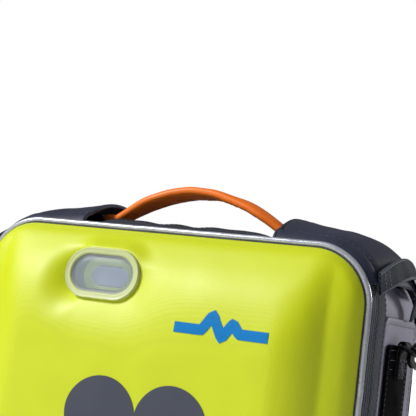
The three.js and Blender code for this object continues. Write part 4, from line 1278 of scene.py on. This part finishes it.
def make_pocket(side, s):
    """A flat pocket with bound edges and a hemmed mouth at the top."""
    low, high = mm_box(f"side_pocket_{side}")
    bounds = side_bounds((low, high))
    at = (facing_side, min(abs(low[0]), abs(high[0])), s)
    rows = [(1.0, 0.0), (0.0, 0.4), (0.0, 1.4), (0.6, 2.0), (2.0, 2.2), (3.4, 1.6), (5.0, 1.9), (9, 2.6),
            (16, 2.9), (24, 2.9)]

    def hemmed(points, *side_at):
        y, z, height = points.T
        hem = hump(z, high[2] - 13, 1.3) * (height > 1.5)
        height = height - 0.7 * hem + 0.15 * ripple(y, z, 2.2, 9) * (height - 0.7 * hem > 1.8)
        return facing_side(np.stack([y, z, height], 1), *side_at)

    shape = domed_plate(bounds, 5, rows, hemmed, *at[1:])
    add_piece(f"pocket_{side}", shape, "case", "black_fabric", f"side_pocket_{side}", sharp=60)
    rows = [border_stitches(bounds, 5, 3.4, 1.7, (s, 0, 0), (2.2, 1.3), *at)]
    for dz in (10, 16):
        line = np.linspace((low[1] + 4, high[2] - dz, 2.45), (high[1] - 4, high[2] - dz, 2.45), 20)
        rows.append(stitch_row(facing_side(line, *at[1:]), (s, 0, 0), 2.2, 1.3, 0.5))
    add_piece(f"pocket_stitches_{side}", merge(rows), "case", "thread_grey", slot="black_fabric")


# ---- Tub, back and base ----
def make_tub():
    """The fabric tub with soft sags and a sewn seam, and the piping round its back edge."""
    counts = {"corner": 14, "straight": 36}
    front, back = TUB_FRONT_Y, TUB_REAR_Y
    out, wall = -4.0, 4.0
    middle = -HALF_WIDTH + 4
    inner = [(middle, back - wall), (-60, back - wall), (-14, back - wall), (out - wall, back - wall),
             (out - wall, front + 1), (out - wall + 0.8, front), (out - 0.8, front), (out, front + 1)]
    side = [(out, y) for y in np.linspace(front + 6, back - 9, 22)]
    rear = [(out - 0.3, back - 6), (out - 1.6, back - 2.9), (out - 3.6, back - 1.0), (out - 6, back)]
    rear += [(off, back) for off in (-14, -30, -60, -100, middle)]
    rings = [at_y(outline(off, **counts), y) for off, y in inner]
    for off, y in side:
        flat, ways = outline_ways(off, **counts)
        share = (y - front) / (back - front)
        sag = -0.5 + 0.15 * np.cos(2 * np.pi * share) + 0.25 * ripple(flat[:, 0] + y, flat[:, 1], 2.1, 24)
        rings.append(at_y(flat + ways * (sag - 0.7 * hump(y, 38, 2.2))[:, None], y))
    rings += [at_y(outline(off, **counts), y) for off, y in rear]
    points, faces = loft(rings)
    slots = []
    for i, face in enumerate(faces):
        x, _, z = points[list(face)].mean(0)
        on_side = abs(x) > HALF_WIDTH - 12 and 24 < z < 284
        slots.append(1 if i // len(rings[0]) < 5 else 2 if on_side else 0)
    add_piece("tub_fabric", (points, faces, slots), "case", ("navy_fabric", "navy_lining", "side_grey"),
              "tub_shell", sharp=60)
    piping = cord_loop(-3.6, mm_box("rear_binding")[0][1] + 1.7, 1.5, 12, straight=80, corner=24)
    add_piece("rear_piping", piping, "case", "black_fabric", "rear_binding")


def make_back():
    """Padded back panel with a sewn border."""
    box = mm_box("back_panel")
    bounds = front_bounds(box)
    depth = box[1][1] - box[0][1]
    at = (facing_back, box[0][1])
    rows = [(1.2, 0.0), (0.0, 0.35), (0.0, depth - 0.9), (0.7, depth - 0.25), (2.5, depth), (6, depth - 0.1),
            (8, depth - 1.0), (9.2, depth - 1.1), (11, depth - 0.2)]
    rows += [(by, depth) for by in (16, 30, 50, 75, 100, 116)]
    shape = domed_plate(bounds, 24, rows, *at, steps=10)
    panel = add_piece("back_pad", shape, "case", "side_grey", "back_panel", sharp=60)
    stitches = border_stitches(bounds, 24, 8.6, depth - 1.05, (0, 1, 0), (2.8, 1.6), *at, steps=10)
    add_piece("back_stitches", stitches, "case", "thread_grey", slot="side_grey")


def make_base():
    """Rubber foot pad with rounded ends and a step under the tub."""
    low, high = mm_box("base_pad")
    profile = np.array([(-50, 0.5), (-49.4, 0), (61.4, 0), (62, 0.5), (62, 5.2), (61.5, 5.7), (-29, 5.7),
                        (-29, 3.4), (-49.5, 3.4), (-50, 3.0)])
    middle = profile.mean(0)
    xs = [low[0], low[0] + 0.6, *np.linspace(low[0] + 2, high[0] - 2, 24), high[0] - 0.6, high[0]]
    rings = []
    for x in xs:
        size = 0.95 if x in (low[0], high[0]) else 1.0
        flat = np.maximum(middle + (profile - middle) * size, (-np.inf, 0))
        rings.append(np.insert(flat, 0, x, axis=1))
    add_piece("foot_pad", loft(rings), "case", "base_rubber", "base_pad")


def make_hinge():
    """The fabric hinge under the lid's lower edge."""
    low, high = mm_box("hinge_strip")
    y = np.linspace(PIPING_Y + 1.4, high[1], 32)
    rows = []
    for x in np.linspace(low[0], high[0], 60):
        top = np.stack([np.full(len(y), x), y, 5.15 - 0.35 * hump(y, ZIP_Y, 2.5)], 1)
        rows.append(np.concatenate([top, (top - [0, 0, 0.9])[::-1]]))
    strip = add_mesh("hinge_fabric", *loft(rows), ["zipper_tape"])
    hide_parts("hinge_strip")
    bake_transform(strip)


# ---- Inside: cradle, device and spares ----
BEVELLED = (("aed_front_housing", "housing_lime"), ("aed_rear_housing", "housing_grey"),
            ("battery_pack", "display_module"), ("handle_anchor_right", "black_metal"),
            ("handle_anchor_left", "black_metal"))
PLAIN = (("main_board", "circuit_board"), ("discharge_capacitor", "foil_packet"),
         ("speaker", "display_module"), ("electrode_packet", "foil_packet"), ("aed_display", "display_module"))
BUTTONS = (("power", "button_green"), ("child", "button_blue"), ("shock", "button_orange"))


def carry_over(node, material):
    """Keeps a CAD node's shape and gives it its finished material."""
    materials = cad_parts[node].data.materials
    materials.clear()
    materials.append(MATERIALS[material])


def soften_edges(piece):
    rounding = piece.modifiers.new("rounding", "BEVEL")
    rounding.width = 0.8 * MM
    rounding.segments = 2
    rounding.limit_method = "ANGLE"
    rounding.angle_limit = math.radians(30)
    rounding.harden_normals = False


def net_thread(start, end, way):
    return loft(swept(np.linspace(start, end, 24), round_section(0.28, 5), way))


def make_lid_pocket():
    """Elastic mesh pocket on the lid's lining, with a bound mouth."""
    low, high = mm_box("lid_pocket")
    middle = (low[1] + high[1]) / 2
    rows = [(0.8, -0.9), (0.0, -0.5), (0.0, 0.5), (0.8, 0.9), (3.0, 0.9), (4.2, 0.2), (7, 0.5), (20, 0.85),
            (50, 0.9)]
    shape = domed_plate(front_bounds((low, high)), 12, rows, facing_back, middle)
    add_piece("lid_net_pocket", shape, "lid", "black_fabric", "lid_pocket", sharp=60)
    path = curve_through([(low[0] + 6, middle + 1.2, high[2] - 5), (0, middle + 1.4, high[2] - 8),
                          (high[0] - 6, middle + 1.2, high[2] - 5)], 40)
    band = loft(swept(path, pill_section(7, 1.2), (0, 0, 1.0)))
    add_piece("lid_pocket_band", band, "lid", "black_webbing", slot="black_fabric")
    y = middle + 1.0
    net = []
    for k in range(-12, 13):
        x = 7.4 * k
        net.append(net_thread((x, y, low[2] + 6), (x, y, high[2] - 10), (1, 0, 0)))
    for k in range(20):
        z = low[2] + 8 + 7.6 * k
        net.append(net_thread((low[0] + 6, y, z), (high[0] - 6, y, z), (0, 0, 1)))
    add_piece("lid_pocket_net", merge(net), "lid", "thread_grey", slot="black_fabric")


def make_cradle():
    """Foam cradle: thick block with a rounded pocket for the device."""
    low, high = mm_box("foam_cradle")
    device_low, device_high = mm_box("aed_front_housing")
    rear = mm_box("aed_rear_housing")[1][1] + 0.5
    outer = (*front_bounds((low, high)), 30)
    hollow = (*front_bounds((device_low - 0.5, device_high + 0.5)), 24)
    front = low[1]
    rows = [(outer, 0, high[1]), (outer, 0, front + 3), (outer, 0.9, front + 0.8), (outer, 3, front),
            (hollow, -3, front), (hollow, -0.9, front + 0.9), (hollow, 0, front + 3.2), (hollow, 0, rear)]
    block = loft([at_y(inset(*shape, by, 10), y) for shape, by, y in rows])
    add_piece("cradle", block, "case", "cradle_foam", "foam_cradle")


def ring_band(x, front, z, rows, sides=48, closed_path=False):
    """A turned form about -Y: `rows` holds [radius, distance in front of the face]."""
    circle = round_section(1.0, sides)
    return loft([at_y(circle * r + (x, z), front - h) for r, h in rows], closed_path)


def collar_plate(bounds, radius, rows, steps):
    """A closed collar round an opening in the device's face: `rows` holds [inset, height]."""
    rings = [at_y(inset(*bounds, radius, by, steps), HOUSING_FRONT - height) for by, height in rows]
    return loft(rings, closed_path=True)


def make_button(name, material):
    """A domed key that rides on its button, its collar on the housing, and its generic sign."""
    low, high = mm_box(f"{name}_button")
    x, _, z = (low + high) / 2
    radius = (high[0] - low[0]) / 2
    proud = HOUSING_FRONT - low[1]
    rows = [(radius - 0.3, HOUSING_FRONT - high[1]), (radius, -3.4), (radius, proud - 1.1),
            (radius - 0.35, proud - 0.35), (radius - 1.1, proud), (radius * 0.8, proud + 0.02),
            (radius * 0.5, proud - 0.25), (0.4, proud - 0.35)]
    body = f"{name}_button"
    add_piece(f"{name}_key", ring_band(x, HOUSING_FRONT, z, rows), body, material, body)
    rows = [(radius + grow, height) for grow, height in
            ((0.5, -2.6), (0.5, 0.3), (0.9, 0.9), (2.2, 1.0), (3.2, 0.6), (3.6, -0.4), (3.0, -2.6))]
    collar = ring_band(x, HOUSING_FRONT, z, rows, closed_path=True)
    add_piece(f"{name}_collar", collar, "case", "housing_grey")
    icon = merge(button_icon(name, x, low[1] + 0.12, z, radius))
    add_piece(f"{name}_icon", icon, body, "icon_white", slot=material)


def flat_bar(points, y, width=1.2, thick=0.35):
    """A printed stroke along XZ points on a plane facing -Y."""
    path = at_y(np.asarray(points, float), y)
    return loft(swept(path, pill_section(width, thick, 4, 3), np.cross(tangents(path), (0, 1.0, 0))))


def button_icon(name, x, y, z, radius):
    """Generic signs: a power ring, a small figure and a bolt."""
    def stroke(*points, width=1.2):
        return flat_bar([(x + dx, z + dz) for dx, dz in points], y, width)

    if name == "power":
        ring = flat_bar(circle_arc(x, z, radius * 0.45, 120, 420, 20), y)
        return [ring, stroke((0, 1), (0, radius * 0.62))]
    if name == "child":
        head = ring_band(x, y, z + 2.6, [(1.4, -0.15), (1.4, 0.12), (0.2, 0.15)], 20)
        return [head, stroke((0, 0.6), (0, -2.4), width=1.6), stroke((-2.2, 0.2), (2.2, 0.2), width=0.9),
                stroke((0, -2.2), (-1.5, -4.8), width=0.9), stroke((0, -2.2), (1.5, -4.8), width=0.9)]
    return [stroke((2.6, 9.5), (-3.6, 0.6), (0.2, 0.6), (-2.6, -9.5), width=2.2),
            stroke((0.2, 0.6), (3.8, 0.6), (-2.6, -9.5), width=2.2)]


def make_screen():
    """Glass over the display, a bezel, and two lit traces behind the glass."""
    low, high = mm_box("aed_screen_glass")
    bounds = front_bounds((low, high))
    depth = high[1] - low[1]
    rows = [(0.3, 0.0), (0.0, 0.3), (0.0, depth - 0.4), (0.5, depth), (6, depth)]
    glass = domed_plate(bounds, 5.8, rows, facing_front, high[1])
    add_piece("screen_pane", glass, "case", "screen_glass", "aed_screen_glass")
    rows = [(-0.5, -0.6), (-0.5, 0.5), (-1.2, 1.1), (-3.4, 1.2), (-5.2, 0.7), (-5.8, -0.3), (-5.2, -0.6)]
    add_piece("screen_bezel", collar_plate(bounds, 6.4, rows, 8), "case", "housing_grey")
    low, high = mm_box("aed_display")
    x = np.linspace(low[0] + 5, high[0] - 5, 160)
    beat = (x - x[0]) / (x[-1] - x[0]) * 4 % 1
    spikes = 9 * hump(beat, 0.4, 0.028) - 3.2 * hump(beat, 0.46, 0.025)
    swells = 1.8 * hump(beat, 0.65, 0.06) + 1.0 * hump(beat, 0.22, 0.04)
    pulse = 4 * np.sin(2 * np.pi * beat) * np.exp(-beat)
    traces = [flat_bar(np.stack([x, z + height], 1), low[1] - 0.25, 0.8, 0.3)
              for z, height in ((high[2] - 15, spikes + swells), (low[2] + 18, pulse))]
    add_piece("display_traces", merge(traces), "case", "display_trace", slot="display_module")


def make_device_front():
    """The nodes that keep their CAD shape, and the device's electrode cover, status lamp and speaker slots."""
    for node, material in BEVELLED + PLAIN:
        carry_over(node, material)
    for node, _ in BEVELLED:
        soften_edges(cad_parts[node])
    make_pads_cover()
    make_status()
    heights = [168 + 4.2 * k for k in range(9)]
    slots = [flat_bar([(-103, z), (-88, z)], HOUSING_FRONT - 0.1, 1.5, 0.5) for z in heights]
    add_piece("speaker_slots", merge(slots), "case", "display_module")


def make_pads_cover():
    """Pull-off cover over the electrodes, with a finger tab and a printed generic torso."""
    low, high = mm_box("pads_cover")
    depth = high[1] - low[1]
    rows = [(0.5, 0.0), (0.0, 0.5), (0.0, depth - 1.6), (0.5, depth - 0.5), (1.6, depth), (6, depth),
            (7.2, depth - 0.7), (8.4, depth - 0.8), (12, depth - 0.6), (30, depth - 0.5)]
    cover = domed_plate(front_bounds((low, high)), 10, rows, facing_front, high[1])
    add_piece("pads_lid", cover, "case", "housing_grey", "pads_cover", sharp=50)
    y = low[1] + 0.35
    x, z = (low[0] + high[0]) / 2 - 52, (low[2] + high[2]) / 2
    half = np.array([(-22, -20), (-20, 2), (-24, 13), (-10, 20), (-5, 24)])
    torso = np.concatenate([half, half[::-1] * (-1, 1)]) + (x, z)
    strokes = [flat_bar(curve_through(at_y(torso, 0), 60)[:, [0, 2]], y)]
    for px, pz in ((x - 11, z + 9), (x + 13, z - 9)):
        pad_line = inset(px - 5, px + 5, pz - 7, pz + 7, 3, steps=6)
        strokes.append(flat_bar(np.concatenate([pad_line, pad_line[:1]]), y))
    add_piece("pads_sign", merge(strokes), "case", "icon_white", slot="housing_grey")
    rows = [(0.6, 0.0), (0, 0.6), (0, 1.6), (0.8, 2.4), (3, 2.5), (5, 1.6), (9, 1.4)]
    tab = domed_plate((x + 78, x + 118, z - 12, z + 12), 8, rows, facing_front, low[1] + 1.0)
    add_piece("pads_tab", tab, "case", "button_orange", slot="housing_grey")
    low, high = mm_box("pads_connector")
    depth = high[1] - low[1]
    rows = [(0.5, 0), (0, 0.5), (0, 6.0), (1.0, 7.4), (3, depth), (6, depth), (7, 6.6)]
    shell = domed_plate(front_bounds((low, high)), 3, rows, facing_front, high[1])
    add_piece("connector_shell", shell, "case", "housing_grey", "pads_connector", sharp=50)


def make_status():
    """Status lamp: a pill of tinted plastic in its collar, seen through the lid's window. The collar's lighter
    lime and faint glow are painted light.
    """
    low, high = mm_box("status_indicator")
    bounds = front_bounds((low, high))
    depth = high[1] - low[1]
    radius = (high[2] - low[2]) / 2 - 0.1
    rows = [(0.4, 0.0), (0.0, 0.4), (0.0, depth - 0.8), (0.4, depth - 0.25), (1.1, depth), (3, depth + 0.05),
            (5.5, depth)]
    lamp = domed_plate(bounds, radius, rows, facing_front, high[1], steps=12)
    add_piece("status_lamp", lamp, "case", "status_lavender", "status_indicator")
    rows = [(-0.5, -0.6), (-0.5, 0.5), (-1.0, 0.8), (-5.5, 0.8), (-6.2, 0.4), (-6.2, -0.6)]
    collar = collar_plate(bounds, radius + 0.4, rows, 12)
    # The collar is lighter than the housing and glows faintly: painted light in the window's recess, not a
    # lamp.
    add_piece("status_bezel", collar, "case", "bezel_lime", slot="housing_lime")


add_camera()
add_stage()
add_lights()
for side_name, sign in SIDES:
    for make in (make_lug, make_ring, make_hook, make_strap_eye):
        make(side_name, sign)
make_strap()
make_lid_shell()
make_window()
make_lid_trim()
make_pulse_mark()
make_heart_mark()
make_tapes()
make_teeth()
for tape_end in ("lower", "upper"):
    make_slider(tape_end)
    make_pull(tape_end)
for side_name, sign in SIDES:
    make_cover(side_name, sign)
make_handle()
for side_name, sign in SIDES:
    make_webbing(side_name, sign)
for side_name, sign in SIDES:
    make_side_panel(side_name, sign)
    make_pocket(side_name, sign)
make_tub()
make_back()
make_base()
make_hinge()
make_lid_pocket()
make_cradle()
for button_name, button_material in BUTTONS:
    make_button(button_name, button_material)
make_screen()
make_device_front()
